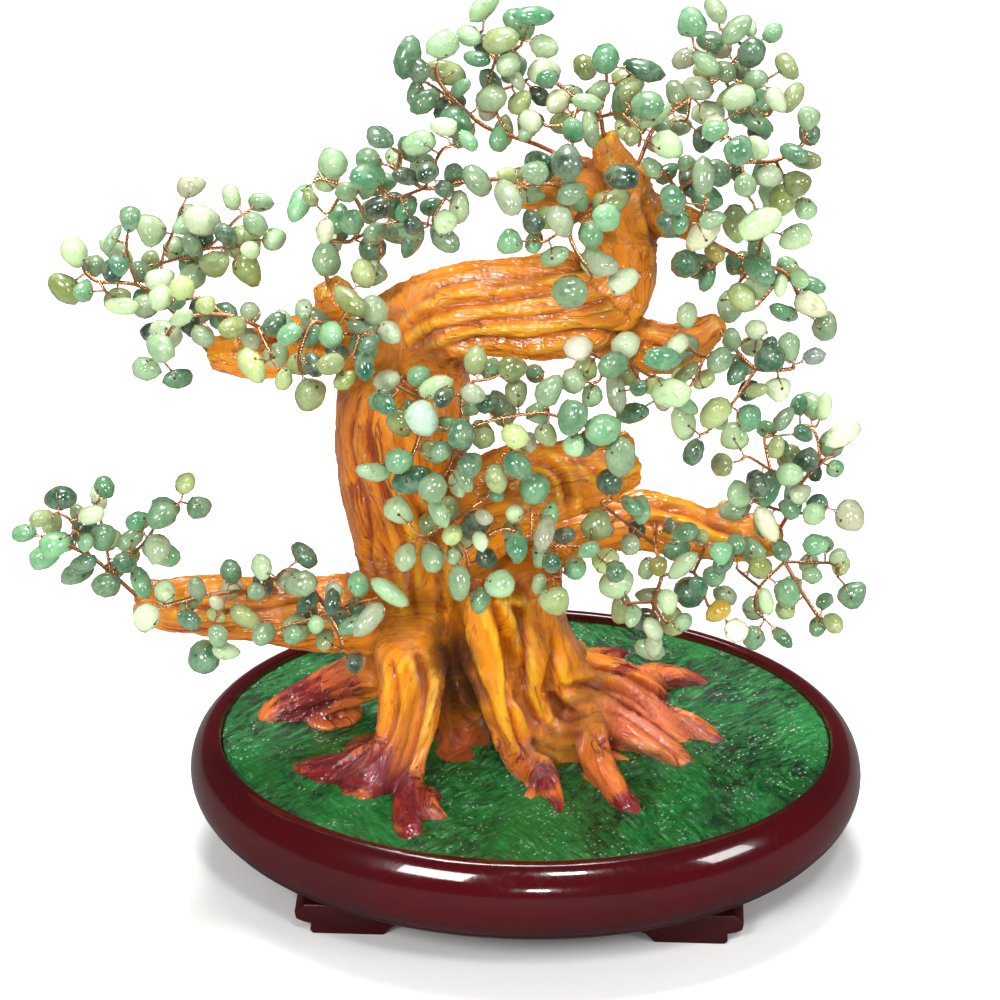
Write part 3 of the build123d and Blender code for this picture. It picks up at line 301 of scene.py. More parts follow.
# Chips that stand out in the photograph: where each is in the picture, and its colour
ODD_CHIPS = [
    ("white quartz", (557, 337), (214, 208, 184)),
    ("white quartz", (728, 620), (232, 236, 205)),
    ("amber", (707, 602), (176, 140, 20)),
    ("amber", (712, 264), (150, 132, 30)),
    ("amber", (655, 570), (120, 112, 28)),
    ("dark hematite", (653, 535), (22, 34, 32)),
    ("grey hematite", (803, 373), (110, 120, 118)),
    ("black jade", (375, 205), (16, 34, 24)),
    ("deep green", (390, 400), (30, 92, 66)),
    ("deep green", (655, 617), (20, 62, 48)),
    ("deep green", (720, 565), (16, 74, 56)),
    ("deep green", (130, 268), (52, 112, 82)),
    ("pale mint", (430, 432), (170, 200, 176)),
    ("pale mint", (340, 585), (190, 214, 186)),
]

# The chips' usual colours and how often each comes
CHIP_COLOURS = [
    (18, (146, 182, 134)),
    (14, (176, 202, 152)),
    (16, (104, 160, 112)),
    (11, (166, 182, 112)),
    (13, (66, 128, 88)),
    (8, (30, 88, 62)),
    (6, (16, 58, 44)),
    (6, (196, 212, 172)),
    (5, (128, 140, 66)),
    (3, (206, 206, 168)),
]


# Folds of the bark as the photograph shows them: half width in pixels, depth in millimetres, and the
# line of the fold in the picture
FOLDS = [
    ("between the first two ropes of the right leg", 4.5, 4.6,
     [(484, 588), (493, 606), (504, 631), (510, 655), (511, 686), (514, 711), (524, 741), (536, 752)]),
    ("between the second and third ropes", 4.0, 3.8,
     [(506, 600), (519, 613), (524, 640), (521, 671), (523, 698), (536, 723), (560, 737), (578, 731)]),
    ("right edge of the third rope", 4.5, 3.4,
     [(552, 632), (556, 652), (551, 671), (549, 695), (567, 715), (584, 712)]),
    ("left edge of the right leg", 5.0, 3.0,
     [(452, 590), (460, 640), (472, 676), (486, 706), (494, 736), (506, 760)]),
    ("first seam of the right roots", 3.6, 3.2, [(560, 690), (590, 684), (622, 690), (646, 703), (664, 722)]),
    ("second seam of the right roots", 3.6, 3.4,
     [(574, 716), (598, 706), (624, 710), (652, 730), (680, 752)]),
    ("third seam of the right roots", 3.6, 3.2, [(588, 722), (604, 742), (634, 754), (664, 768)]),
    ("seam over the finger roots", 3.2, 2.6, [(590, 668), (618, 672), (644, 686), (668, 700), (690, 716)]),
    ("between the left leg and its inner strand", 3.6, 3.4,
     [(412, 648), (420, 662), (425, 686), (420, 717), (412, 747), (402, 772), (392, 796)]),
    ("second fold of the left leg", 3.0, 2.2, [(388, 652), (396, 680), (396, 712), (382, 744), (366, 764)]),
    ("fold of the left roots", 3.2, 2.8, [(378, 690), (356, 700), (330, 706), (300, 716)]),
    ("crack in the left root", 2.6, 2.4, [(372, 744), (350, 762), (330, 778)]),
    ("long fold of the trunk", 4.0, 2.6,
     [(372, 392), (366, 430), (376, 470), (392, 506), (404, 548), (410, 592), (420, 630)]),
    ("left fold of the trunk", 3.2, 2.0,
     [(352, 400), (348, 440), (356, 486), (366, 520), (368, 560), (384, 604)]),
    ("inner fold of the trunk", 3.6, 2.4,
     [(398, 430), (404, 478), (424, 520), (438, 560), (440, 600), (446, 628)]),
    ("groove over the brow", 3.4, 2.2,
     [(392, 340), (418, 318), (456, 304), (500, 300), (552, 290), (600, 282)]),
    ("second groove of the brow", 3.0, 2.0,
     [(398, 358), (436, 332), (486, 322), (540, 318), (592, 306), (628, 292)]),
    ("top crease of the brow", 2.6, 1.6, [(404, 312), (440, 286), (490, 274), (548, 272), (596, 266)]),
    ("under the brow", 3.8, 2.6, [(430, 352), (476, 342), (524, 344), (580, 334), (640, 336), (672, 352)]),
    ("outer ring of the knot", 3.6, 2.8,
     [(480, 492), (490, 470), (514, 457), (544, 460), (562, 476), (570, 498), (566, 520)]),
    ("inner ring of the knot", 3.0, 2.4, [(500, 498), (506, 480), (526, 470), (546, 478), (552, 494)]),
    ("fold along the cut stub", 3.0, 2.0, [(560, 452), (586, 462), (604, 480), (620, 474), (632, 458)]),
    ("long fold of the low limb", 3.2, 2.2, [(596, 492), (640, 500), (684, 512), (722, 530), (752, 540)]),
    ("second fold of the low limb", 2.8, 1.8, [(620, 520), (664, 524), (704, 542), (742, 552)]),
    ("fold of the upright limb", 3.0, 2.0, [(640, 330), (660, 296), (660, 258), (650, 222), (640, 190)]),
    ("fold of the upper left limb", 2.6, 1.8, [(246, 344), (282, 338), (320, 346), (352, 362)]),
    ("fold of the lower left limb", 3.0, 1.8, [(146, 604), (190, 606), (240, 612), (290, 604), (330, 596)]),
]

# Where the tree's paint changes in the photograph, and where shade is painted on it: for each wash its
# middles in the picture, their radii in pixels and how strong it is there. The umber wash is painted shade,
# mostly down the trunk's shaded left side, and the hollow wash is painted shade in the hollow between the
# legs
WASHES = {
    "crimson": [(300, 705, 40, 0.85), (345, 690, 30, 0.55), (325, 768, 44, 0.9), (368, 772, 40, 0.85),
        (400, 800, 38, 0.95), (420, 835, 30, 0.95), (446, 800, 16, 0.75), (545, 775, 20, 0.9),
        (556, 812, 20, 1.0), (630, 805, 22, 0.9), (505, 745, 18, 0.5), (690, 755, 20, 0.7),
        (722, 742, 16, 0.7), (655, 765, 16, 0.6), (625, 660, 18, 0.7), (668, 700, 16, 0.55),
        (640, 700, 12, 0.4), (604, 745, 14, 0.5), (700, 684, 14, 0.55), (520, 752, 14, 0.6)],
    "salmon": [(326, 696, 50, 1.0), (368, 768, 44, 0.9), (462, 752, 32, 1.0), (640, 720, 60, 1.0),
        (556, 760, 40, 0.8), (600, 800, 40, 0.9)],
    # The umber wash: painted shade, brown laid where the trunk and limbs fall in shade
    "umber_painted_shade": [(350, 400, 26, 0.9), (352, 450, 34, 1.2), (362, 510, 38, 1.2), (376, 570, 26, 0.9),
        (430, 350, 18, 0.7), (200, 625, 30, 0.6), (280, 636, 34, 0.7), (560, 620, 24, 0.6),
        (600, 560, 26, 0.5)],
    # The hollow wash: painted shade in the dark hollow between the legs
    "hollow": [(455, 660, 26, 1.0), (462, 696, 26, 1.0), (470, 728, 20, 0.8), (440, 630, 12, 0.6)],
    "yellow": [(556, 752, 22, 1.0), (640, 758, 22, 0.6), (590, 712, 20, 0.5)],
}


def paint(red, green, blue):
    """A colour in linear light, from the values of a picture."""
    values = (v / 255 for v in (red, green, blue))
    return tuple(v / 12.92 if v <= 0.04045 else ((v + 0.055) / 1.055) ** 2.4 for v in values) + (1.0,)


def tree_point(station):
    """Where a station of a limb or a stem lies."""
    x, y, height = (value / 100 for value in station[:3])
    return Vector((x * LIMB_REACH, y * LIMB_REACH, TURF_LEVEL + height * TREE_RISE))


def camera_axes():
    """The camera's forward, right and upward directions."""
    forward = (CAMERA_AIM - CAMERA_PLACE).normalized()
    right = forward.cross(Vector((0, 0, 1))).normalized()
    return forward, right, right.cross(forward)


def picture_place(point):
    """Where the camera sees a point, in the picture's pixels, and how far away the point is."""
    forward, right, upward = camera_axes()
    ray = Vector(point) - CAMERA_PLACE
    depth = ray.dot(forward)
    scale = CAMERA_LENS / SENSOR * PICTURE / depth
    return PICTURE / 2 + ray.dot(right) * scale, PICTURE / 2 - ray.dot(upward) * scale, depth


def point_on_turf(across, down):
    """The point of the turf that the camera sees at a pixel."""
    forward, right, upward = camera_axes()
    scale = SENSOR / CAMERA_LENS / PICTURE
    ray = forward + right * (across - PICTURE / 2) * scale - upward * (down - PICTURE / 2) * scale
    return CAMERA_PLACE + ray * (TURF_LEVEL - CAMERA_PLACE.z) / ray.z


def picture_places(places):
    """Where the camera sees many points, in the picture's pixels."""
    forward, right, upward = (np.array(axis) for axis in camera_axes())
    rays = places - np.array(CAMERA_PLACE)
    scale = CAMERA_LENS / SENSOR * PICTURE / (rays @ forward)
    return PICTURE / 2 + rays @ right * scale, PICTURE / 2 - rays @ upward * scale


def fold_depths(across, down):
    """How deep the folds cut at each place of the picture."""
    cut = np.zeros(len(across))
    for _, half_width, depth, line in FOLDS:
        nearest = np.full(len(across), FAR)
        share = np.zeros(len(across))
        for number, (start, end) in enumerate(zip(line, line[1:])):
            way = np.array(end, float) - np.array(start, float)
            t = np.clip(((across - start[0]) * way[0] + (down - start[1]) * way[1]) / (way @ way), 0, 1)
            gap = np.hypot(across - start[0] - t * way[0], down - start[1] - t * way[1])
            closer = gap < nearest
            nearest = np.where(closer, gap, nearest)
            share = np.where(closer, (number + t) / (len(line) - 1), share)
        ends = np.clip(np.minimum(share, 1 - share) * 7, 0.15, 1)
        valley = np.exp(-(nearest / half_width) ** 2)
        shoulder = 0.22 * np.exp(-((nearest - 2.6 * half_width) / (1.2 * half_width)) ** 2)
        cut += depth * MM * ends * (valley - shoulder)
    return cut


def wash_masks(across, down):
    """How strong each wash is at each place of the picture."""
    masks = {}
    for wash, spots in WASHES.items():
        masks[wash] = np.zeros(len(across))
        for x, y, radius, strength in spots:
            gap = np.hypot(across - x, down - y)
            masks[wash] = np.maximum(masks[wash], strength * np.exp(-(gap / radius) ** 4))
    return masks


class GemTreeLook(bpy.types.PropertyGroup):
    """Sizes and colours of the ornament that a user would change."""

    strand_pitch: FloatProperty(name="Strand pitch", description="Length of one turn of the stems' twist",
                                default=4.6 * MM, unit="LENGTH")
    twig_pitch: FloatProperty(name="Twig pitch", description="Length of one turn of a two-strand twig",
                              default=2.2 * MM, unit="LENGTH")
    strand_radius: FloatProperty(name="Strand radius", description="Radius of one strand of a stem",
                                 default=0.36 * MM, unit="LENGTH")
    twig_strand_radius: FloatProperty(name="Twig strand radius", description="Radius of one strand of a twig",
                                      default=0.26 * MM, unit="LENGTH")
    bark_voxel: FloatProperty(name="Bark voxel", description="How finely the cast bark is modelled",
                              default=1.12 * MM, unit="LENGTH")
    bark_depth: FloatProperty(name="Bark depth", default=0.17,
                              description="Depth of the ropes in the bark, as a share of the limb")
    turf_bumps: FloatProperty(name="Turf bumps", description="Height of the turf's lumps", default=1.1 * MM,
                              unit="LENGTH")
    chip_swell: FloatProperty(name="Chip swell", description="How full the tumbled chips are", default=1.30)
    bore_radius: FloatProperty(name="Bore radius", description="Radius of a chip's drilled hole",
                               default=0.55 * MM, unit="LENGTH")
    bark_amber: FloatVectorProperty(name="Amber lacquer", description="Colour of the bark's raised ropes",
                                    subtype="COLOR", size=4, default=paint(255, 150, 0))
    bark_brown: FloatVectorProperty(name="Brown wash", description="Colour washed into the bark's grooves",
                                    subtype="COLOR", size=4, default=paint(150, 58, 0))
    root_salmon: FloatVectorProperty(name="Salmon wash", description="Colour of the roots near the ground",
                                     subtype="COLOR", size=4, default=paint(224, 106, 48))
    root_crimson: FloatVectorProperty(name="Crimson brush", description="Colour brushed on the roots' tips",
                                      subtype="COLOR", size=4, default=paint(150, 16, 36))
    turf_green: FloatVectorProperty(name="Turf green", description="Main colour of the turf", subtype="COLOR",
                                    size=4, default=paint(0, 116, 38))
    turf_shade: FloatVectorProperty(name="Turf shade", description="Colour deep in the turf", subtype="COLOR",
                                    size=4, default=paint(0, 28, 12))
    pot_maroon: FloatVectorProperty(name="Pot maroon", description="Colour of the pot", subtype="COLOR",
                                    size=4, default=paint(66, 4, 9))
    copper: FloatVectorProperty(name="Copper", description="Colour of the wire", subtype="COLOR", size=4,
                                default=paint(240, 176, 132))


# Node helpers

class Net:
    """A tree of shader nodes, with the steps that add to it."""

    def __init__(self, tree, material=None):
        self.tree = tree
        self.material = material

    @classmethod
    def of_material(cls, name, **values):
        """The nodes of a new material, with the inputs of its principled shader set by name."""
        material = bpy.data.materials.new(name)
        material.use_nodes = True
        net = cls(material.node_tree, material)
        net.feed(**values)
        return net

    def give(self, socket, value):
        """Set a socket to a value, or link it from another socket."""
        if isinstance(value, bpy.types.NodeSocket):
            self.tree.links.new(value, socket)
        else:
            socket.default_value = value

    def feed(self, **values):
        """Set or link inputs of the principled shader."""
        for key, value in values.items():
            self.give(self.tree.nodes["Principled BSDF"].inputs[key.replace("_", " ")], value)

    def node(self, kind, settings=(), **inputs):
        """A node with its settings, and its inputs by name or, as in i0, by number."""
        node = self.tree.nodes.new(kind)
        for key, value in dict(settings).items():
            setattr(node, key, value)
        for key, value in inputs.items():
            numbered = key[0] == "i" and key[1:].isdigit()
            self.give(node.inputs[int(key[1:]) if numbered else key.replace("_", " ")], value)
        return node

    def place(self):
        """Where a point lies in the object."""
        return self.node("ShaderNodeTexCoord").outputs["Object"]

    def attribute(self, name, output="Fac"):
        """A value that the mesh carries at its points."""
        return self.node("ShaderNodeAttribute", {"attribute_name": name}).outputs[output]

    def scaled(self, vector, scale):
        """A place multiplied along its three axes."""
        return self.node("ShaderNodeVectorMath", {"operation": "MULTIPLY"}, i0=vector, i1=scale).outputs[0]

    def noise(self, place, scale, detail=4.0, roughness=0.55, distortion=0.0):
        """Soft noise from 0 to 1."""
        return self.node("ShaderNodeTexNoise", Vector=place, Scale=scale, Detail=detail, Roughness=roughness,
                         Distortion=distortion).outputs[0]

    def maths(self, operation, first, second=0.0):
        """One sum on two values."""
        return self.node("ShaderNodeMath", {"operation": operation}, i0=first, i1=second).outputs[0]

    def times(self, value, factor):
        """A value multiplied, or as it is where the factor is 1."""
        return value if factor == 1 else self.maths("MULTIPLY", value, factor)

    def total(self, *parts):
        """The sum of values, each given with its weight."""
        values = [self.times(value, weight) for value, weight in parts]
        total = values[0]
        for value in values[1:]:
            total = self.maths("ADD", total, value)
        return total

    def spread(self, value, low, high, to_low=0.0, to_high=1.0):
        """A value stretched smoothly from one range to another."""
        return self.node("ShaderNodeMapRange", {"interpolation_type": "SMOOTHSTEP"}, Value=value, i1=low,
                         i2=high, i3=to_low, i4=to_high).outputs[0]

    def mix(self, share, first, second):
        """A colour between two others."""
        return self.node("ShaderNodeMix", {"data_type": "RGBA"}, i0=share, i6=first, i7=second).outputs[2]

    def layered(self, colour, *layers):
        """A colour under further ones, each given with its mask and its strength."""
        for mask, strength, over in layers:
            colour = self.mix(self.times(mask, strength), colour, over)
        return colour

    def mottled(self, place, patch_scale, speck_scale):
        """The mask of the shared mottle group."""
        return self.node("ShaderNodeGroup", {"node_tree": mottle_group()}, i0=place, i1=patch_scale,
                         i2=speck_scale).outputs[0]

    def bump(self, height, strength, distance, socket="Normal"):
        """Let a height tilt the surface, or the coat's."""
        bump = self.node("ShaderNodeBump", Strength=strength, Distance=distance, Height=height)
        self.feed(**{socket: bump.outputs[0]})


def mottle_group():
    """A shared group: cloudy patches over fine specks, as a mask from 0 to 1."""
    group = bpy.data.node_groups.get("mottle")
    if group:
        return group
    group = bpy.data.node_groups.new("mottle", "ShaderNodeTree")
    for name, side, kind in (("Place", "INPUT", "Vector"), ("Patch scale", "INPUT", "Float"),
                             ("Speck scale", "INPUT", "Float"), ("Mask", "OUTPUT", "Float")):
        group.interface.new_socket(name, in_out=side, socket_type="NodeSocket" + kind)
    net = Net(group)
    place, patch_scale, speck_scale = net.node("NodeGroupInput").outputs[:3]
    both = net.total((net.noise(place, patch_scale, 3.0), 0.7), (net.noise(place, speck_scale, 2.0), 0.3))
    net.node("NodeGroupOutput", i0=net.spread(both, 0.36, 0.64))
    return group


# Mesh helpers

def new_piece(name, mesh, material, body):
    """A finished piece in the scene, riding on its body unless it has none of its own."""
    piece = bpy.data.objects.new(name, mesh)
    bpy.context.collection.objects.link(piece)
    mesh.materials.clear()
    mesh.materials.append(material)
    mesh.polygons.foreach_set("use_smooth", [True] * len(mesh.polygons))
    if body:
        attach(piece, body)
    return piece


def mesh_from(shape, name):
    """A mesh of a bmesh's shape, which is freed."""
    mesh = bpy.data.meshes.new(name)
    shape.to_mesh(mesh)
    shape.free()
    return mesh


def merged_copy(node):
    """A closed copy of a node's mesh, with the corners of neighbouring faces joined."""
    mesh = bmesh.new()
    mesh.from_mesh(frame["nodes"][node].data)
    bmesh.ops.remove_doubles(mesh, verts=mesh.verts, dist=0.002 * MM)
    return mesh


def applied(piece):
    """The piece's mesh with its modifiers applied."""
    evaluated = piece.evaluated_get(bpy.context.evaluated_depsgraph_get())
    mesh = bpy.data.meshes.new_from_object(evaluated)
    piece.modifiers.clear()
    piece.data = mesh
    return mesh


def islands_of(mesh):
    """The separate shells of a bmesh, as lists of vertices."""
    left = set(mesh.verts)
    shells = []
    while left:
        stack = [min(left, key=lambda v: v.index)]
        shell = []
        left.discard(stack[0])
        while stack:
            vertex = stack.pop()
            shell.append(vertex)
            for edge in vertex.link_edges:
                other = edge.other_vert(vertex)
                if other in left:
                    left.discard(other)
                    stack.append(other)
        shells.append(shell)
    return shells


def smooth_route(points, step):
    """Points along a smooth curve through a route's points, about a step apart."""
    points = [Vector(p) for p in points]
    ends = [points[0] * 2 - points[1]] + points + [points[-1] * 2 - points[-2]]
    route = []
    for before, start, end, after in zip(ends, ends[1:], ends[2:], ends[3:]):
        count = max(2, round((end - start).length / step))
        for i in range(count):
            t = i / count
            curved = (2 * before - 5 * start + 4 * end - after) * t * t
            route.append(0.5 * (2 * start + (end - before) * t + curved
                                + (3 * start - before - 3 * end + after) * t ** 3))
    route.append(points[-1])
    return route


def strand_places(route, count, offset, pitch, turn=0.0, taper=0.0):
    """The paths of twisted strands round a route, each with the travel along it."""
    travel = 0.0
    heading = (route[1] - route[0]).normalized()
    side = heading.orthogonal().normalized()
    strands = [[] for _ in range(count)]
    for i, point in enumerate(route):
        if i:
            travel += (point - route[i - 1]).length
            heading = (route[min(i + 1, len(route) - 1)] - route[i - 1]).normalized()
        side = (side - heading * side.dot(heading)).normalized()
        third = heading.cross(side)
        for k, strand in enumerate(strands):
            angle = turn + 2 * math.pi * (travel / pitch + k / count)
            reach = offset * (1 - taper * i / len(route))
            strand.append((point + (side * math.cos(angle) + third * math.sin(angle)) * reach, travel))
    return strands


def wire_mesh(name, strands, sides):
    """A mesh of round wires along paths given as (points, radius)."""
    curve = bpy.data.curves.new(name, "CURVE")
    curve.dimensions = "3D"
    curve.bevel_depth = 1.0
    curve.bevel_resolution = sides // 2 - 2
    curve.use_fill_caps = True
    for points, radius in strands:
        spline = curve.splines.new("POLY")
        spline.points.add(len(points) - 1)
        for place, point in zip(spline.points, points):
            place.co = (*point, 1)
            place.radius = radius
    holder = bpy.data.objects.new(name, curve)
    bpy.context.collection.objects.link(holder)
    bpy.context.view_layer.update()
    mesh = bpy.data.meshes.new_from_object(holder.evaluated_get(bpy.context.evaluated_depsgraph_get()))
    bpy.data.objects.remove(holder)
    bpy.data.curves.remove(curve)
    mesh.name = name
    return mesh


# Materials

def stone_material():
    """Tumbled stone in each chip's own colour: clouded, veined and specked, with a painted sheen that pales
    it at grazing angles.
    """
    net = Net.of_material("tumbled_chip", Roughness=0.16, Coat_Weight=0.7, Coat_Roughness=0.05, IOR=1.5,
                          Subsurface_Weight=0.15, Subsurface_Scale=0.0018, Subsurface_Radius=(0.7, 1.0, 0.7))
    place = net.place()
    cloud = net.mottled(place, 170.0, 700.0)
    veins = net.spread(net.noise(place, 260.0, 3.0, 0.5, 1.2), 0.54, 0.76)
    specks = net.spread(net.noise(place, 1400.0, 2.0), 0.66, 0.72)
    # Painted sheen: the colour pales towards each chip's rims, where the surface turns away from the view
    edge = net.node("ShaderNodeLayerWeight", Blend=0.35).outputs["Facing"]
    colour = net.layered(net.attribute("chip_colour", "Color"), (cloud, 0.18, paint(206, 226, 186)),
                         (veins, 0.34, paint(34, 84, 48)), (specks, 0.28, paint(20, 40, 26)))
    painted_rim_sheen = net.mix(0.5, colour, paint(226, 238, 206))
    net.feed(Base_Color=net.layered(colour, (edge, 0.22, painted_rim_sheen)),
             Roughness=net.spread(cloud, 0.0, 1.0, 0.12, 0.30))
    net.bump(net.noise(place, 600.0, 3.0), 0.15, 0.0004)
    return net.material


def bore_shade_material():
    """Painted shade of a drilled hole: a dark, dull colour for the discs over the holes' mouths."""
    net = Net.of_material("painted_bore_shade", Roughness=0.6)
    grit = net.mottled(net.place(), 800.0, 3000.0)
    net.feed(Base_Color=net.mix(grit, paint(30, 40, 30), paint(70, 74, 52)))
    return net.material


def wire_material(look):
    """Copper with patches of darker patina."""
    net = Net.of_material("copper_strands", Metallic=1.0, Roughness=0.28)
    place = net.place()
    patina = net.mottled(place, 120.0, 2200.0)
    net.feed(Base_Color=net.layered(tuple(look.copper), (patina, 0.55, paint(158, 96, 62))),
             Roughness=net.spread(patina, 0.0, 1.0, 0.20, 0.42))
    net.bump(net.noise(place, 2600.0, 2.0), 0.15, 0.0001)
    return net.material


def bark_material(look):
    """Lacquered casting: amber with brown grooves, lines and cracks, the roots' washes over it, and painted
    shade on the trunk's shaded side and in the hollow between the legs.
    """
    net = Net.of_material("cast_bark", Roughness=0.3, Coat_Weight=1.0, Coat_Roughness=0.03, Coat_IOR=1.75,
                          IOR=1.45, Specular_IOR_Level=0.3)
    place = net.place()
    grain_place = net.attribute("grain_place", "Vector")

    def grained(stretch, *settings):
        """Noise drawn out along the grain."""
        return net.noise(net.scaled(grain_place, (1.0, 1.0, stretch)), *settings)

    streaks = grained(0.16, 0.55, 6.0, 0.65, 0.6)
    fine = grained(0.14, 2.6, 5.0, 0.7, 0.4)
    wrinkles = grained(0.26, 1.3, 6.0, 0.68, 0.9)
    speckle = net.noise(place, 1500.0, 3.0, 0.7)
    off_line = net.maths("ABSOLUTE", net.maths("SUBTRACT", grained(0.13, 0.9, 3.0, 0.5, 0.7), 0.5))
    cracks = net.times(net.spread(off_line, 0.022, 0.004), net.spread(streaks, 0.42, 0.56))
    lines = net.times(net.spread(fine, 0.50, 0.66), net.spread(streaks, 0.40, 0.62))
    wash = net.spread(net.total((streaks, 0.42), (fine, 0.36), (speckle, 0.22)), 0.43, 0.60)
    cavity = net.attribute("cavity")
    patches = net.spread(net.noise(place, 24.0, 3.0), 0.40, 0.66)
    grooves = net.spread(cavity, 0.46, 0.80)
    # The brown share includes the umber wash, which is painted shade on the trunk's shaded side
    brown_share = net.total((wash, 0.14), (lines, 0.55), (grooves, 0.46), (patches, 0.10),
                            (net.attribute("umber_painted_shade"), 0.42), (cracks, 0.55))
    brown_share = net.node("ShaderNodeClamp", Value=brown_share).outputs[0]
    light = net.mix(net.spread(cavity, 0.40, 0.10), tuple(look.bark_amber), paint(255, 184, 20))
    salmon = net.layered(tuple(look.root_salmon), (brown_share, 0.75, paint(120, 36, 14)))
    brushed = net.total((net.attribute("root_crimson"), 1), (net.maths("SUBTRACT", wash, 0.5), 0.55))
    red = net.mix(net.spread(fine, 0.35, 0.65), tuple(look.root_crimson), paint(96, 6, 20))
    # The painted shade's colour for the hollow between the legs: dark brown
    dark = net.mix(net.spread(fine, 0.4, 0.6), paint(44, 10, 2), paint(92, 30, 6))
    bark = net.layered(light, (brown_share, 1, tuple(look.bark_brown)),
                       (net.attribute("root_salmon"), 1, salmon),
                       (net.attribute("ground_yellow"), 1, paint(232, 150, 46)),
                       (net.spread(brushed, 0.28, 0.80), 1, red), (net.attribute("painted_leg_shade"), 1, dark))
    net.feed(Base_Color=bark, Roughness=net.spread(wrinkles, 0.3, 0.7, 0.20, 0.40))
    net.bump(net.total((wrinkles, 1), (fine, 0.55), (speckle, 0.12), (cracks, -0.22)), 1.0, 0.0014)
    coat = net.total((grained(0.22, 2.8, 2.0, 0.5, 0.5), 1), (grained(0.6, 1.6, 2.0, 0.5, 0.6), 1))
    net.bump(coat, 1.0, 0.0013, "Coat_Normal")
    return net.material


def turf_material(look):
    """Turf whose fibres are brushed one way in places and another way between, with small glints."""
    net = Net.of_material("brushed_turf", Roughness=0.4, Coat_Weight=0.6, Coat_Roughness=0.06, Coat_IOR=1.7,
                          Specular_IOR_Level=0.15)
    place = net.place()
    ways = [net.node("ShaderNodeMapping", Vector=place, Rotation=(0, 0, turn)).outputs[0]
            for turn in (0.9, -0.7)]
    first, second = [net.noise(net.scaled(way, (1.0, 0.22, 1.0)), 640.0, 5.0, 0.66, 0.4) for way in ways]
    lean = net.spread(net.noise(place, 14.0, 2.0), 0.42, 0.58)
    fibres = net.node("ShaderNodeMix", i0=lean, i2=first, i3=second).outputs[0]
    patches = net.spread(net.noise(place, 32.0, 3.0), 0.36, 0.66)
    cells = net.node("ShaderNodeTexVoronoi", {"feature": "F1"}, Vector=net.scaled(ways[0], (1.0, 0.45, 1.0)),
                     Scale=1150.0).outputs
    chosen = net.spread(net.node("ShaderNodeSeparateColor", i0=cells["Color"]).outputs[0], 0.64, 0.70)
    glint = net.times(chosen, net.spread(cells["Distance"], 0.34, 0.18))
    glint = net.times(glint, net.spread(net.noise(place, 70.0, 3.0), 0.42, 0.58))
    green = net.mix(net.spread(fibres, 0.40, 0.60), tuple(look.turf_shade), tuple(look.turf_green))
    green = net.layered(green, (patches, 0.45, paint(8, 158, 60)),
                        (net.spread(fibres, 0.56, 0.70), 0.6, paint(120, 200, 128)),
                        (glint, 0.90, paint(226, 246, 226)))
    net.feed(Base_Color=green, Roughness=net.spread(fibres, 0.3, 0.7, 0.18, 0.44))
    net.bump(fibres, 1.0, 0.0040)
    net.bump(net.total((fibres, 0.6), (net.noise(place, 1300.0, 3.0, 0.7), 1)), 1.0, 0.0007, "Coat_Normal")
    return net.material


def pot_material(look):
    """Clouded maroon glaze, duller towards the feet, and darker and browner there as painted shade."""
    net = Net.of_material("maroon_glaze", Roughness=0.16, Coat_Weight=0.6, Coat_Roughness=0.04,
                          Specular_IOR_Level=0.3)
    place = net.place()
    cloud = net.mottled(place, 22.0, 420.0)
    height = net.node("ShaderNodeSeparateXYZ", Vector=place).outputs[2]
    # Painted shade low on the pot: the glaze is darkened and browned towards the feet
    low = net.spread(height, 0.034, 0.022)
    net.feed(Base_Color=net.layered(tuple(look.pot_maroon), (cloud, 0.35, paint(44, 1, 5)),
                                    (low, 0.7, paint(52, 8, 10))),
             Roughness=net.total((low, 0.22), (net.spread(cloud, 0.0, 1.0, 0.10, 0.20), 1)),
             Coat_Weight=net.spread(height, 0.022, 0.042, 0.12, 0.65))
    net.bump(net.noise(place, 260.0, 3.0), 0.06, 0.0006)
    return net.material


def plaster_material():
    """Dull cast plaster."""
    net = Net.of_material("cast_plaster", Roughness=0.9)
    place = net.place()
    net.feed(Base_Color=net.mix(net.mottled(place, 60.0, 900.0), paint(206, 200, 188), paint(176, 168, 154)))
    net.bump(net.noise(place, 500.0, 4.0), 0.4, 0.0006)
    return net.material


# The tree's bark

# The bark's depths: its ropes' at most, its crinkles' and wrinkles', and its burls'; the relief that is left
# where the limb's surface was; and how wide the bark of one limb runs into the next one's
ROPES_AT_MOST = 2.3 * MM
CRINKLES = 0.6 * MM
BURLS = 1.2 * MM
LEVEL_RELIEF = 0.72
LIMB_MERGE = 1.6 * MM

# The casting's webs between its roots: their middles in the picture, and their radii and rises in
# millimetres
GROUND_WEBS = [(558, 752, 9.0, 3.0), (642, 752, 11.0, 3.0), (604, 776, 8.0, 1.8), (462, 744, 12.0, 2.4),
               (372, 752, 11.0, 2.4), (420, 800, 8.0, 2.0), (330, 712, 12.0, 2.6), (540, 792, 7.0, 1.8)]


def limb_stretches():
    """Every straight stretch of the limbs: its limb, ends, radii, the travel to it and its side direction."""
    stretches = []
    for number, stations in enumerate(LIMBS.values()):
        travel = 0.0
        side = None
        for low, high in zip(stations, stations[1:]):
            start, end = tree_point(low), tree_point(high)
            heading = (end - start).normalized()
            side = heading.cross(Vector((0, 1, 0))) if side is None else side - heading * side.dot(heading)
            side = side.normalized()
            radii = (station[3] / 100 * TRUNK_GIRTH for station in (low, high))
            stretches.append((number, start, end, *radii, travel, side))
            travel += (end - start).length
    return stretches


def humps(angle, sharpness=0.6):
    """Round ridges with narrow valleys, one for each full turn of the angle."""
    return np.abs(np.cos(angle / 2)) ** sharpness


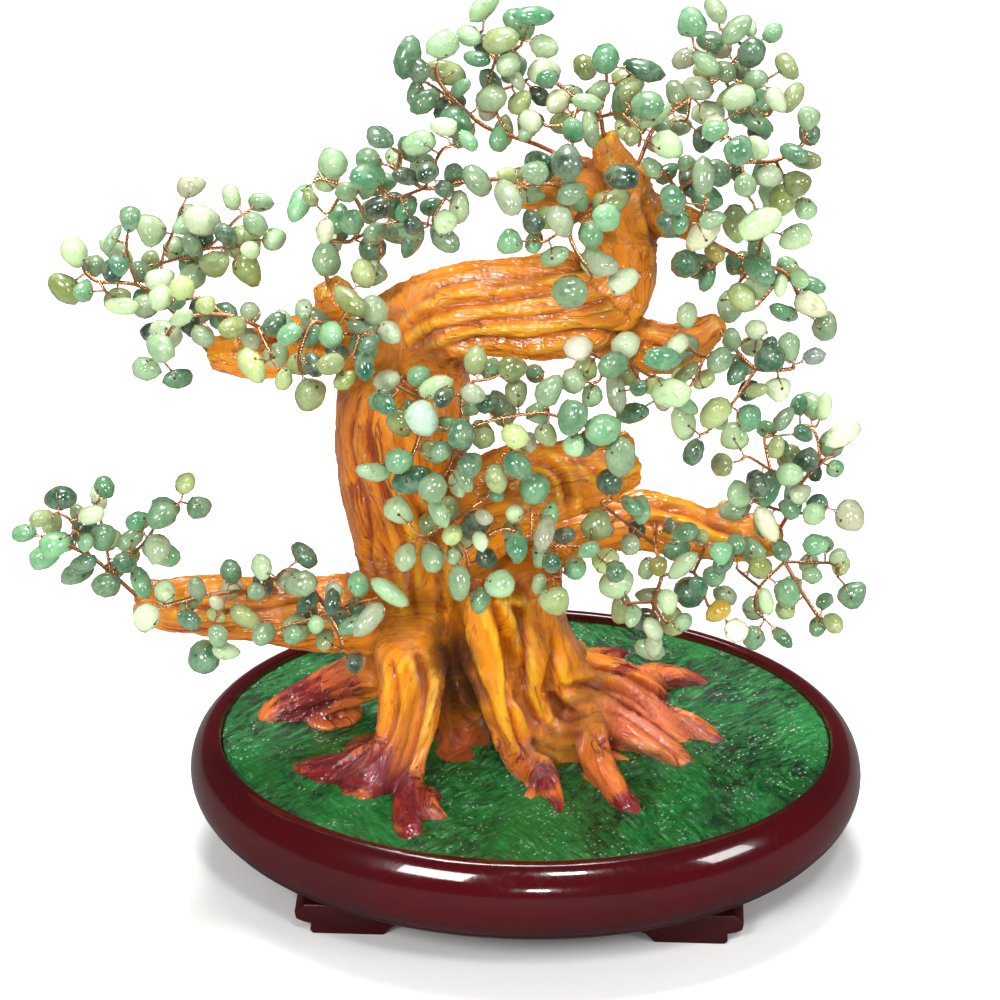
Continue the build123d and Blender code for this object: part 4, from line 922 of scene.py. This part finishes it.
def bark_field(places):
    """For each place: the bark's relief from 0 to 1, the limb's radius, its place in the grain and gap."""
    count = len(places)
    total = len(LIMBS)
    gap = np.full((total, count), FAR)
    along = np.zeros((total, count))
    angle = np.zeros((total, count))
    girth = np.zeros((total, count))
    for number, start, end, low, high, travel, side in limb_stretches():
        heading = np.array((end - start).normalized())
        length = (end - start).length
        offset = places - np.array(start)
        t = np.clip(offset @ heading / length, 0, 1)
        radial = offset - np.outer(t * length, heading)
        radius = low + (high - low) * t
        here = np.linalg.norm(radial, axis=1) - radius
        third = np.cross(heading, np.array(side))
        better = here < gap[number]
        gap[number] = np.where(better, here, gap[number])
        along[number] = np.where(better, travel + t * length, along[number])
        angle[number] = np.where(better, np.arctan2(radial @ third, radial @ np.array(side)), angle[number])
        girth[number] = np.where(better, radius, girth[number])
    nearest = gap.min(axis=0)
    weight = np.exp(-(gap - nearest) / LIMB_MERGE)
    weight /= weight.sum(axis=0)
    relief = np.zeros(count)
    depth = np.zeros(count)
    swirl = noise_at(places * 24)
    ripple = noise_at(places * 70 + 9)
    grain = np.zeros((count, 3))
    for number in range(total):
        draw = random.Random("limb %d" % number)
        phases = [draw.uniform(0, 2 * math.pi) for _ in range(6)]
        s, a, r = along[number], angle[number], girth[number]
        lobes = 3 if r.mean() < 7 * MM else 4 if r.mean() < 13 * MM else 6
        twist = draw.choice((-1, 1)) * draw.uniform(18, 34)
        warp = 0.7 * np.sin(s * 55 + phases[0] + 2 * a) + 0.5 * np.sin(s * 120 + phases[1] - a)
        warp = warp + 2.6 * swirl + 1.1 * ripple
        ropes = humps(lobes * (a + twist * s * 0.5) + warp + phases[2])
        strings = humps((2 * lobes + 3) * (a + twist * s * 0.4) + 1.5 * warp + phases[3], 0.8)
        swell = 0.5 + 0.5 * np.sin(s * 140 + phases[4] + 1.2 * np.sin(a + phases[5]))
        even = np.clip((s * 1000 - 10) / 20, 0.4, 1)
        mixed = even * (0.56 * ropes + 0.26 * strings) + 0.82 * 0.62 * (1 - even) + 0.18 * swell
        relief += weight[number] * mixed
        depth += weight[number] * r
        turned = a + twist * s * 0.45
        around = (np.cos(turned) * r * 1000 / 4 + number * 7, np.sin(turned) * r * 1000 / 4 + number * 3)
        grain += weight[number][:, None] * np.stack([*around, s * 1000 / 4], axis=1)
    return relief, depth, grain, nearest


def noise_at(places):
    """Soft noise from -1 to 1 at many places."""
    return np.array([noise.noise(Vector(place)) for place in places])


def cavity_of(mesh, places):
    """How hollow the surface is at each vertex: 0 on a ridge, 0.5 on the flat and 1 in a groove."""
    pairs = np.empty(len(mesh.edges) * 2, dtype=np.int64)
    mesh.edges.foreach_get("vertices", pairs)
    first, second = pairs[0::2], pairs[1::2]
    normals = np.empty(len(places) * 3)
    mesh.vertices.foreach_get("normal", normals)
    normals = normals.reshape(-1, 3)
    share = np.maximum(np.bincount(pairs, minlength=len(places)), 1)

    def around(values):
        total = np.zeros_like(values)
        np.add.at(total, first, values[second])
        np.add.at(total, second, values[first])
        return total / (share[:, None] if values.ndim > 1 else share)

    wide = places
    for _ in range(4):
        wide = around(wide)
    hollow = ((wide - places) * normals).sum(axis=1) / (0.55 * MM)
    for _ in range(2):
        hollow = around(hollow)
    return np.clip(0.5 + 0.5 * hollow, 0, 1)


class GEMTREE_OT_bark(bpy.types.Operator):
    """Model the cast tree: ropes and grooves along every limb, and its painted lacquer"""
    bl_idname = "gemtree.bark"
    bl_label = "Cast tree"

    def execute(self, context):
        look = context.scene.gem_tree
        shape = merged_copy("trunk_casting")
        for *pixel, size, rise in GROUND_WEBS:
            flat = Matrix.Diagonal((size * MM, size * MM, rise * MM, 1))
            bmesh.ops.create_uvsphere(shape, u_segments=24, v_segments=12, radius=1.0,
                                      matrix=Matrix.Translation(point_on_turf(*pixel)) @ flat)
        mesh = mesh_from(shape, "cast_tree")
        piece = new_piece("cast_tree", mesh, bark_material(look), "pot_and_tree")
        remesh = piece.modifiers.new("voxels", "REMESH")
        remesh.mode = "VOXEL"
        remesh.voxel_size = look.bark_voxel
        remesh.use_smooth_shade = True
        soften = piece.modifiers.new("soften", "SMOOTH")
        soften.factor = 0.5
        soften.iterations = 5
        mesh = applied(piece)
        count = len(mesh.vertices)
        places = np.empty(count * 3)
        normals = np.empty(count * 3)
        mesh.vertices.foreach_get("co", places)
        mesh.vertices.foreach_get("normal", normals)
        places, normals = places.reshape(-1, 3), normals.reshape(-1, 3)
        relief, girth, grain = bark_field(places)[:3]
        across, down = picture_places(places)
        sight = np.array(CAMERA_PLACE) - places
        sight /= np.linalg.norm(sight, axis=1)[:, None]
        facing = np.clip((normals * sight).sum(axis=1) * 4, 0, 1)
        cut = fold_depths(across, down) * facing
        crinkle = noise_at(grain * (0.9, 0.9, 0.3))
        wrinkle = 1 - np.abs(noise_at(grain * (1.7, 1.7, 0.34) + 31)) * 2
        burls = noise_at(places * 55)
        reach = np.minimum(girth * look.bark_depth, ROPES_AT_MOST)
        reach *= 1 - 0.45 * np.clip(np.abs(cut) / (2 * MM), 0, 1)
        move = (relief - LEVEL_RELIEF) * reach + (crinkle + wrinkle - 0.6) * CRINKLES + burls * BURLS - cut
        places += normals * move[:, None]
        mesh.vertices.foreach_set("co", places.ravel())
        mesh.update()
        cavity = cavity_of(mesh, places)
        rise = (places[:, 2] - TURF_LEVEL) * 1000
        masks = wash_masks(across, down)
        low = np.clip((44 - rise) / 20, 0, 1)
        away = np.hypot(places[:, 0] * 1000 + 20, places[:, 1] * 1000)
        behind = places[:, 1] > 0.02
        salmon = np.clip((30 - rise) / 24, 0, 1) * 0.85
        salmon = np.maximum(salmon, masks["salmon"] * low)
        crimson = np.clip((away - 50) / 30, 0, 1) * np.clip((14 - rise) / 12, 0, 1) * 0.5
        crimson += behind * np.clip((20 - rise) / 20, 0, 1) * 0.5
        crimson = np.maximum(crimson, masks["crimson"] * low)
        # Crimson also gathers in the grooves near the ground: partly brushed paint and partly painted shade
        crimson += np.clip(cavity - 0.55, 0, 1) * np.clip((26 - rise) / 20, 0, 1) * 0.8
        # Painted shade in the hollow between the legs, fading out near the ground and higher up
        shade = masks["hollow"] * np.clip((80 - rise) / 20, 0, 1) * np.clip((rise - 6) / 10, 0, 1)
        # The umber wash is stored as it is: painted shade on the trunk's shaded side
        for name, values in (("cavity", cavity), ("root_salmon", salmon), ("root_crimson", crimson),
                             ("ground_yellow", masks["yellow"] * low), ("painted_leg_shade", shade * 0.9),
                             ("umber_painted_shade", masks["umber_painted_shade"])):
            layer = mesh.attributes.new(name, "FLOAT", "POINT")
            layer.data.foreach_set("value", np.clip(values, 0, 1).astype(np.float32))
        layer = mesh.attributes.new("grain_place", "FLOAT_VECTOR", "POINT")
        layer.data.foreach_set("vector", grain.astype(np.float32).ravel())
        mesh.update()
        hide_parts("trunk_casting")
        return {"FINISHED"}


# The pot and what fills it

# The pot's outline as (height, inset from its widest oval), in millimetres: up the outside, over the rolled
# rim and down the inside
POT_OUTSIDE = [(6.0, 40.0), (6.1, 27.0), (7.2, 23.4), (10.0, 19.2), (13.4, 14.6), (17.0, 9.6), (20.2, 6.2),
               (20.9, 6.5), (21.6, 5.4), (25.0, 2.8), (29.0, 0.9), (33.0, 0.1), (37.0, 0.3), (40.6, 1.2),
               (43.6, 2.3), (46.2, 4.2), (48.2, 6.0), (49.5, 7.9), (50.0, 9.6)]
POT_INSIDE = [(49.9, 10.9), (49.3, 11.4), (48.0, 11.7), (44.0, 12.9), (36.0, 15.2), (23.4, 22.4),
              (12.0, 31.5), (12.0, 60.0)]

# A pair of feet's outline from the pot's middle outwards as (x, height), where the feet's outer faces stand
# and how thick the feet are, in millimetres
FOOT_OUTLINE = [(48.0, 0.0), (73.0, 0.0), (74.0, 1.2), (73.6, 4.4), (76.4, 5.0), (79.0, 6.2), (79.4, 9.6),
                (76.0, 12.6), (52.0, 12.6), (34.0, 10.6), (35.4, 6.8), (40.6, 5.6), (45.2, 3.2)]
FOOT_FRONT = 59.2
FOOT_THICK = 15.4

# The turf's lumps: their middles in the picture, their radii and their rises in millimetres
TURF_LUMPS = [(744, 792, 7.0, 4.4), (722, 802, 5.0, 3.6), (764, 800, 5.0, 3.4), (700, 814, 6.0, 2.6),
              (768, 778, 5.0, 3.4), (736, 774, 4.4, 2.6), (505, 765, 13.0, 1.8), (470, 790, 12.0, 1.5),
              (650, 800, 11.0, 1.2), (690, 790, 6.0, 1.6)]


def oval_wall(name, profile, sides=160):
    """A closed oval shell spun from a profile of (height, inset), and stretched to the pot's length."""
    half_length = POT_HIGH.x
    difference = POT_HIGH.x - POT_HIGH.y
    shell = bmesh.new()
    ring = [shell.verts.new((half_length - inset * MM, 0, height * MM)) for height, inset in profile]
    edges = [shell.edges.new(pair) for pair in zip(ring, ring[1:])]
    bmesh.ops.spin(shell, geom=ring + edges, cent=(0, 0, 0), axis=(0, 0, 1), angle=2 * math.pi, steps=sides,
                   use_merge=True, use_duplicate=False)
    bmesh.ops.remove_doubles(shell, verts=shell.verts, dist=0.01 * MM)
    for vertex in shell.verts:
        radius = math.hypot(vertex.co.x, vertex.co.y)
        vertex.co.y *= (radius - difference) / radius
    for height, inset in (profile[0], profile[-1]):
        rim = [e for e in shell.edges if e.is_boundary and abs(e.verts[0].co.z - height * MM) < 0.01 * MM
               and abs(e.verts[1].co.z - height * MM) < 0.01 * MM]
        bmesh.ops.holes_fill(shell, edges=rim, sides=0)
    bmesh.ops.recalc_face_normals(shell, faces=shell.faces)
    return mesh_from(shell, name)


class GEMTREE_OT_pot(bpy.types.Operator):
    """Model the oval pot with its rolled rim, the crease round its belly and its four bracket feet"""
    bl_idname = "gemtree.pot"
    bl_label = "Footed pot"

    def execute(self, context):
        look = context.scene.gem_tree
        finish = pot_material(look)
        wall = oval_wall("pot_bowl", POT_OUTSIDE + POT_INSIDE)
        bowl = new_piece("pot_bowl", wall, finish, "pot_and_tree")
        rounding = bowl.modifiers.new("rounding", "SUBSURF")
        rounding.levels = rounding.render_levels = 1
        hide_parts("pot")
        self.feet(finish)
        return {"FINISHED"}

    def feet(self, finish):
        """The four feet, as two mirrored pairs."""
        feet = bmesh.new()
        for side in (1, -1):
            front = side * FOOT_FRONT
            first = [feet.verts.new((x * MM, -front * MM, z * MM)) for x, z in FOOT_OUTLINE]
            face = feet.faces.new(first)
            made = bmesh.ops.extrude_face_region(feet, geom=[face])
            moved = [v for v in made["geom"] if isinstance(v, bmesh.types.BMVert)]
            bmesh.ops.translate(feet, verts=moved, vec=(0, side * FOOT_THICK * MM, 0))
        bmesh.ops.mirror(feet, geom=feet.verts[:] + feet.edges[:] + feet.faces[:], axis="X", merge_dist=0)
        bmesh.ops.recalc_face_normals(feet, faces=feet.faces)
        bmesh.ops.bevel(feet, geom=feet.edges[:], offset=0.7 * MM, affect="EDGES", segments=3, profile=0.5,
                        material=-1, offset_type="OFFSET")
        new_piece("pot_feet", mesh_from(feet, "pot_feet"), finish, "pot_and_tree")


class GEMTREE_OT_bedding(bpy.types.Operator):
    """Finish the plaster bed and model the brushed turf that laps the roots"""
    bl_idname = "gemtree.bedding"
    bl_label = "Plaster bed and turf"

    def execute(self, context):
        look = context.scene.gem_tree
        plaster = frame["nodes"]["plaster_fill"]
        plaster.data.materials.clear()
        plaster.data.materials.append(plaster_material())
        self.turf(look)
        return {"FINISHED"}

    def turf(self, look):
        """A grid stretched over the turf's oval, raised in lumps, round the roots and at random."""
        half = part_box("turf")[1].xy
        sheet = bmesh.new()
        bmesh.ops.create_grid(sheet, x_segments=210, y_segments=150, size=1.0)
        lumps = [(point_on_turf(*pixel), size * MM, rise * MM) for *pixel, size, rise in TURF_LUMPS]
        flat = []
        for vertex in sheet.verts:
            u, v = vertex.co.x, vertex.co.y
            x, y = u * math.sqrt(1 - v * v / 2) * half.x, v * math.sqrt(1 - u * u / 2) * half.y
            vertex.co = (x, y, TURF_LEVEL)
            flat.append(tuple(vertex.co))
        gap = bark_field(np.array(flat))[3]
        for vertex, near in zip(sheet.verts, gap):
            x, y = vertex.co.x, vertex.co.y
            edge = 1 - math.hypot(x / half.x, y / half.y)
            bumps = noise.noise(Vector((x * 70, y * 70, 0.3))) * 0.7
            bumps += noise.noise(Vector((x * 260, y * 260, 4))) * 0.35
            rise = bumps * look.turf_bumps * min(1, edge * 14)
            rise += 2.0 * MM * max(0, 1 - max(near, 0) / (7 * MM)) ** 2
            for place, size, height in lumps:
                share = math.hypot(x - place.x, y - place.y) / size
                share += 0.25 * noise.noise(Vector((x * 190, y * 190, size * 999)))
                if share < 1:
                    crumple = 0.7 + 0.6 * noise.noise(Vector((x * 420, y * 420, size * 77)))
                    rise += height * min(1, (1 - share * share) * 2.2) * crumple
            rise -= 0.8 * MM * max(0, 1 - edge * 16)
            vertex.co.z += max(rise, -1.6 * MM)
        mesh = mesh_from(sheet, "turf_crust")
        turf = new_piece("turf_crust", mesh, turf_material(look), "pot_and_tree")
        thick = turf.modifiers.new("crust", "SOLIDIFY")
        thick.thickness = 1.2 * MM
        thick.offset = -1
        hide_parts("turf")


# The wire and the chips

# How far apart a stem's points are, how far outside a chip a ray starts, how deep the wires are glued into
# a limb, and how far past the bend a blended sleeve reaches
ROUTE_STEP = 0.5 * MM
RAY_START = 30 * MM
WIRE_BURIED = 7.5 * MM
SLEEVE_REACH = 4 * MM


def stem_points(name):
    """The points of each of a branch's stems."""
    stems = []
    for stations in STEMS[name]:
        stems.append([stems[s[0]][s[1]] if len(s) == 2 else tree_point(s) for s in stations])
    return stems


def branch_routes(name):
    """A branch's stems as smooth routes, the first from inside its limb, its bend and the direction there."""
    joint = next(j for j in frame["joints"] if j["child"] == name)
    pivot = Vector(joint["pos_m"])
    routes = []
    for number, points in enumerate(stem_points(name)):
        back = points[-2] - points[-1]
        points[-1] = points[-1] + back * min(0.6, 5 * MM / back.length)
        if number == 0:
            heading = (points[1] - points[0]).normalized()
            points[0] = pivot
            points.insert(0, pivot - heading * WIRE_BURIED)
        routes.append(smooth_route(points, ROUTE_STEP))
    return routes, pivot, heading


class GEMTREE_OT_wire(bpy.types.Operator):
    """Twist the copper stems, twigs and loops of every branch"""
    bl_idname = "gemtree.wire"
    bl_label = "Copper wire"

    def execute(self, context):
        look = context.scene.gem_tree
        finish, hole = wire_material(look), bore_shade_material()
        replaced = False
        for name in STEMS:
            routes, pivot, heading = branch_routes(name)
            draw = random.Random("wire " + name)
            sleeve, strands = [], []
            for number, route in enumerate(routes):
                count, thick = (4, 1.0) if number == 0 else (3, 0.86)
                offset = look.strand_radius * (1.35 if count == 4 else 1.12) * thick
                turn = draw.uniform(0, 6)
                for strand in strand_places(route, count, offset, look.strand_pitch, turn, 0.2):
                    if number == 0:
                        cut = next(i for i, (p, s) in enumerate(strand) if s > WIRE_BURIED + SLEEVE_REACH)
                        sleeve.append(([p for p, s in strand[:cut + 1]], look.strand_radius * thick))
                        strand = strand[cut:]
                    strands.append(([p for p, s in strand], look.strand_radius * thick))
            twigs, bore_shade_discs = [], []
            along = [p for route in routes for p in route[(15 if route is routes[0] else 0):]]
            for centre, axes, surface in chip_facts(name):
                start = min(along, key=lambda p: (p - centre).length_squared)
                way = (centre - start).normalized()
                entry = surface.ray_cast(centre - way * RAY_START, way)[0]
                reach = (centre - entry).length
                thin = axes[2] - way * way.dot(axes[2])
                if thin.length < 0.4:
                    thin = axes[1] - way * way.dot(axes[1])
                thin.normalize()
                length = max((entry - start).length, 0.6 * MM)
                steps = max(2, round(length / (0.4 * MM)))
                path = [start + (entry - start) * i / steps for i in range(steps + 1)]
                apart = look.twig_strand_radius * 1.05
                pair = strand_places(path, 2, apart, look.twig_pitch, draw.uniform(0, 6))
                for sign, strand in zip((1, -1), pair):
                    points = [p for p, s in strand]
                    points[-1] = entry - way * 0.5 * MM + thin * sign * 0.45 * MM
                    for share in (0.72, 0.42):
                        over = centre - way * reach * share
                        hit, normal = surface.ray_cast(over + thin * sign * RAY_START, -thin * sign)[:2]
                        points.append(hit + normal * 0.14 * MM)
                    points.append(hit - thin * sign * 0.9 * MM)
                    twigs.append((points, look.twig_strand_radius * 0.82))
                    bore_shade_discs.append((hit, normal))
            mesh = wire_mesh(name + "_stems", strands, 6)
            piece = new_piece(name + "_twisted_wire", mesh, finish, name)
            small = wire_mesh(name + "_twigs", twigs, 4)
            together = bmesh.new()
            together.from_mesh(piece.data)
            together.from_mesh(small)
            self.bore_shade_discs(name, bore_shade_discs, look.bore_radius, hole)
            together.to_mesh(piece.data)
            together.free()
            bpy.data.meshes.remove(small)
            piece.data.polygons.foreach_set("use_smooth", [True] * len(piece.data.polygons))
            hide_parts(name + "_wire")
            mesh = wire_mesh(name + "_wire_root", sleeve, 6)
            root = new_piece(name + "_wire_root", mesh, finish, None)
            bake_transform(root)
            if not replaced:
                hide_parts("wire_roots")
                replaced = True
        return {"FINISHED"}

    def bore_shade_discs(self, name, bore_shade_discs, radius, hole):
        """The drilled holes' mouths, as dark discs let into the chips' faces: painted shade where the holes
        are.
        """
        discs = bmesh.new()
        for place, normal in bore_shade_discs:
            turned = normal.to_track_quat("Z", "Y").to_matrix().to_4x4()
            matrix = Matrix.Translation(place + normal * 0.03 * MM) @ turned
            bmesh.ops.create_circle(discs, cap_ends=True, segments=8, radius=radius, matrix=matrix)
        new_piece(name + "_bores", mesh_from(discs, name + "_bores"), hole, name)


def chip_facts(name):
    """For each finished chip of a branch: its middle, its directions and a tree to find its surface with."""
    graph = bpy.context.evaluated_depsgraph_get()
    shape = bmesh.new()
    shape.from_object(bpy.data.objects[name + "_chips"], graph)
    facts = []
    for shell in islands_of(shape):
        places = np.array([tuple(v.co) for v in shell])
        number_of = {v: i for i, v in enumerate(shell)}
        faces = {face for v in shell for face in v.link_faces}
        corners = [[number_of[v] for v in face.verts] for face in faces]
        surface = BVHTree.FromPolygons([tuple(p) for p in places], corners)
        facts.append((Vector(places.mean(axis=0)), principal_axes(places), surface))
    shape.free()
    return facts


def principal_axes(places):
    """The long, middle and thin directions of a set of places."""
    axes = np.linalg.eigh(np.cov((places - places.mean(axis=0)).T))[1]
    return [Vector(axes[:, i]) for i in (2, 1, 0)]


def tumble(shell, centre, swell, draw):
    """Give a chip its own worn shape: a wedge, a bean or a nugget."""
    long, middle, thin = principal_axes(np.array([tuple(v.co) for v in shell]))
    kind = draw.choice(("wedge", "bean", "nugget", "wedge", "bean"))
    stretch, squeeze, taper = {"wedge": (1.14, 1.02, 0.56), "bean": (1.34, 0.80, 0.16),
                               "nugget": (1.04, 1.08, 0.30)}[kind]
    taper *= draw.choice((-1, 1))
    lean = draw.uniform(-0.35, 0.35)
    half = max(abs((v.co - centre).dot(long)) for v in shell)
    swell *= draw.uniform(0.90, 1.08)
    for vertex in shell:
        offset = vertex.co - centre
        u, v, w = offset.dot(long), offset.dot(middle), offset.dot(thin)
        share = u / half
        narrow = 1 - taper * share
        bent = v * squeeze * narrow + lean * half * 0.25 * share * share
        vertex.co = centre + (long * u * stretch + middle * bent
                              + thin * w * (1 - 0.5 * taper * share)) * swell * draw.uniform(0.94, 1.06)


class GEMTREE_OT_chips(bpy.types.Operator):
    """Tumble the stone chips smooth and colour each one"""
    bl_idname = "gemtree.chips"
    bl_label = "Stone chips"

    def execute(self, context):
        look = context.scene.gem_tree
        finish = stone_material()
        seen = []
        for name in STEMS:
            shape = merged_copy(name + "_stones")
            bmesh.ops.dissolve_limit(shape, angle_limit=math.radians(2), verts=shape.verts, edges=shape.edges)
            shape.verts.index_update()
            shells = islands_of(shape)
            draw = random.Random("chips " + name)
            colours = {}
            crease = shape.edges.layers.float.new("crease_edge")
            for edge in shape.edges:
                edge[crease] = draw.uniform(0.0, 0.30)
            for number, shell in enumerate(shells):
                centre = sum((v.co for v in shell), Vector()) / len(shell)
                seen.append((name, number, picture_place(centre)))
                tumble(shell, centre, look.chip_swell * CLOSE_CHIPS.get(name, 1), draw)
                pick = draw.uniform(0, sum(often for often, colour in CHIP_COLOURS))
                for often, colour in CHIP_COLOURS:
                    pick -= often
                    if pick <= 0:
                        break
                lift = draw.uniform(0.68, 1.06)
                colour = paint(*(min(255, v * lift) for v in colour))
                for vertex in shell:
                    colours[vertex.index] = colour
            mesh = bpy.data.meshes.new(name + "_chips")
            shape.to_mesh(mesh)
            layer = mesh.color_attributes.new("chip_colour", "FLOAT_COLOR", "POINT")
            for index, colour in colours.items():
                layer.data[index].color = colour
            groups = mesh.attributes.new("chip_number", "INT", "POINT")
            for number, shell in enumerate(shells):
                for vertex in shell:
                    groups.data[vertex.index].value = number
            shape.free()
            piece = new_piece(name + "_chips", mesh, finish, name)
            rounding = piece.modifiers.new("tumbled", "SUBSURF")
            rounding.levels = rounding.render_levels = 1
            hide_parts(name + "_stones")
        self.odd_ones(seen)
        return {"FINISHED"}

    def odd_ones(self, seen):
        """Give the chips that stand out their colours, each to the free chip nearest to its place."""
        taken = set()
        for _, pixel, colour in ODD_CHIPS:
            near = [(math.hypot(place[0] - pixel[0], place[1] - pixel[1]) + place[2] * 60, name, number)
                    for name, number, place in seen if (name, number) not in taken]
            name, number = min(near)[1:]
            taken.add((name, number))
            mesh = bpy.data.objects[name + "_chips"].data
            numbers, tones = mesh.attributes["chip_number"].data, mesh.color_attributes["chip_colour"].data
            for point, tone in zip(numbers, tones):
                if point.value == number:
                    tone.color = paint(*colour)


class GEMTREE_OT_stage(bpy.types.Operator):
    """Set the pale floor, the soft lights and the photograph's camera"""
    bl_idname = "gemtree.stage"
    bl_label = "Floor, lights and camera"

    def execute(self, context):
        scene = context.scene
        scene.view_settings.view_transform = "Standard"
        floor = bmesh.new()
        bmesh.ops.create_grid(floor, x_segments=8, y_segments=8, size=6.0)
        mesh = mesh_from(floor, "floor")
        net = Net.of_material("pale_floor", Roughness=0.85)
        pale = net.mix(net.mottled(net.place(), 3.0, 120.0), paint(246, 246, 244), paint(242, 242, 240))
        # Painted reflection: in glossy rays the floor shows grey, so its reflections are darker than the
        # floor looks
        mirrored = net.node("ShaderNodeLightPath").outputs["Is Glossy Ray"]
        net.feed(Base_Color=net.mix(mirrored, pale, paint(96, 96, 96)))
        stage = bpy.data.objects.new("floor", mesh)
        scene.collection.objects.link(stage)
        mesh.materials.append(net.material)
        world = bpy.data.worlds.new("studio")
        world.use_nodes = True
        sky = world.node_tree.nodes["Background"]
        sky.inputs[0].default_value = (1.0, 1.0, 1.0, 1.0)
        net = Net(world.node_tree)
        rays = net.node("ShaderNodeLightPath").outputs
        dim = net.spread(rays["Is Glossy Ray"], 0.0, 1.0, 0.32, 0.08)
        seen = net.spread(rays["Is Camera Ray"], 0.0, 1.0, 0.0, 0.66)
        net.give(sky.inputs[1], net.total((dim, 1), (seen, 1)))
        scene.world = world
        for label, place, size, power in LIGHTS:
            light = bpy.data.lights.new(label, "AREA")
            light.size = size
            light.energy = power
            lamp = bpy.data.objects.new(label, light)
            lamp.location = place
            lamp.rotation_euler = (LIGHTS_AIM - Vector(place)).to_track_quat("-Z", "Y").to_euler()
            scene.collection.objects.link(lamp)
        view = bpy.data.cameras.new("photograph")
        view.lens = CAMERA_LENS
        view.sensor_width = SENSOR
        view.clip_start = 0.05
        camera = bpy.data.objects.new("photograph", view)
        camera.location = CAMERA_PLACE
        camera.rotation_euler = (CAMERA_AIM - CAMERA_PLACE).to_track_quat("-Z", "Y").to_euler()
        scene.collection.objects.link(camera)
        scene.camera = camera
        return {"FINISHED"}


class GEMTREE_PT_panel(bpy.types.Panel):
    """The ornament's pieces, sizes and colours"""
    bl_idname = "GEMTREE_PT_panel"
    bl_label = "Gemstone Tree"
    bl_space_type = "VIEW_3D"
    bl_region_type = "UI"
    bl_category = "Gemstone Tree"

    def draw(self, context):
        look = context.scene.gem_tree
        for operator in OPERATORS:
            self.layout.operator(operator.bl_idname)
        for name in GemTreeLook.__annotations__:
            self.layout.prop(look, name)


OPERATORS = (GEMTREE_OT_stage, GEMTREE_OT_pot, GEMTREE_OT_bedding, GEMTREE_OT_bark, GEMTREE_OT_chips,
             GEMTREE_OT_wire)
CLASSES = (GemTreeLook,) + OPERATORS + (GEMTREE_PT_panel,)


def register():
    for one in CLASSES:
        bpy.utils.register_class(one)
    bpy.types.Scene.gem_tree = PointerProperty(type=GemTreeLook)


def unregister():
    del bpy.types.Scene.gem_tree
    for one in reversed(CLASSES):
        bpy.utils.unregister_class(one)


def main():
    register()
    bpy.ops.gemtree.stage()
    bpy.ops.gemtree.pot()
    bpy.ops.gemtree.bedding()
    bpy.ops.gemtree.bark()
    bpy.ops.gemtree.chips()
    bpy.ops.gemtree.wire()


if __name__ == "__main__":
    main()
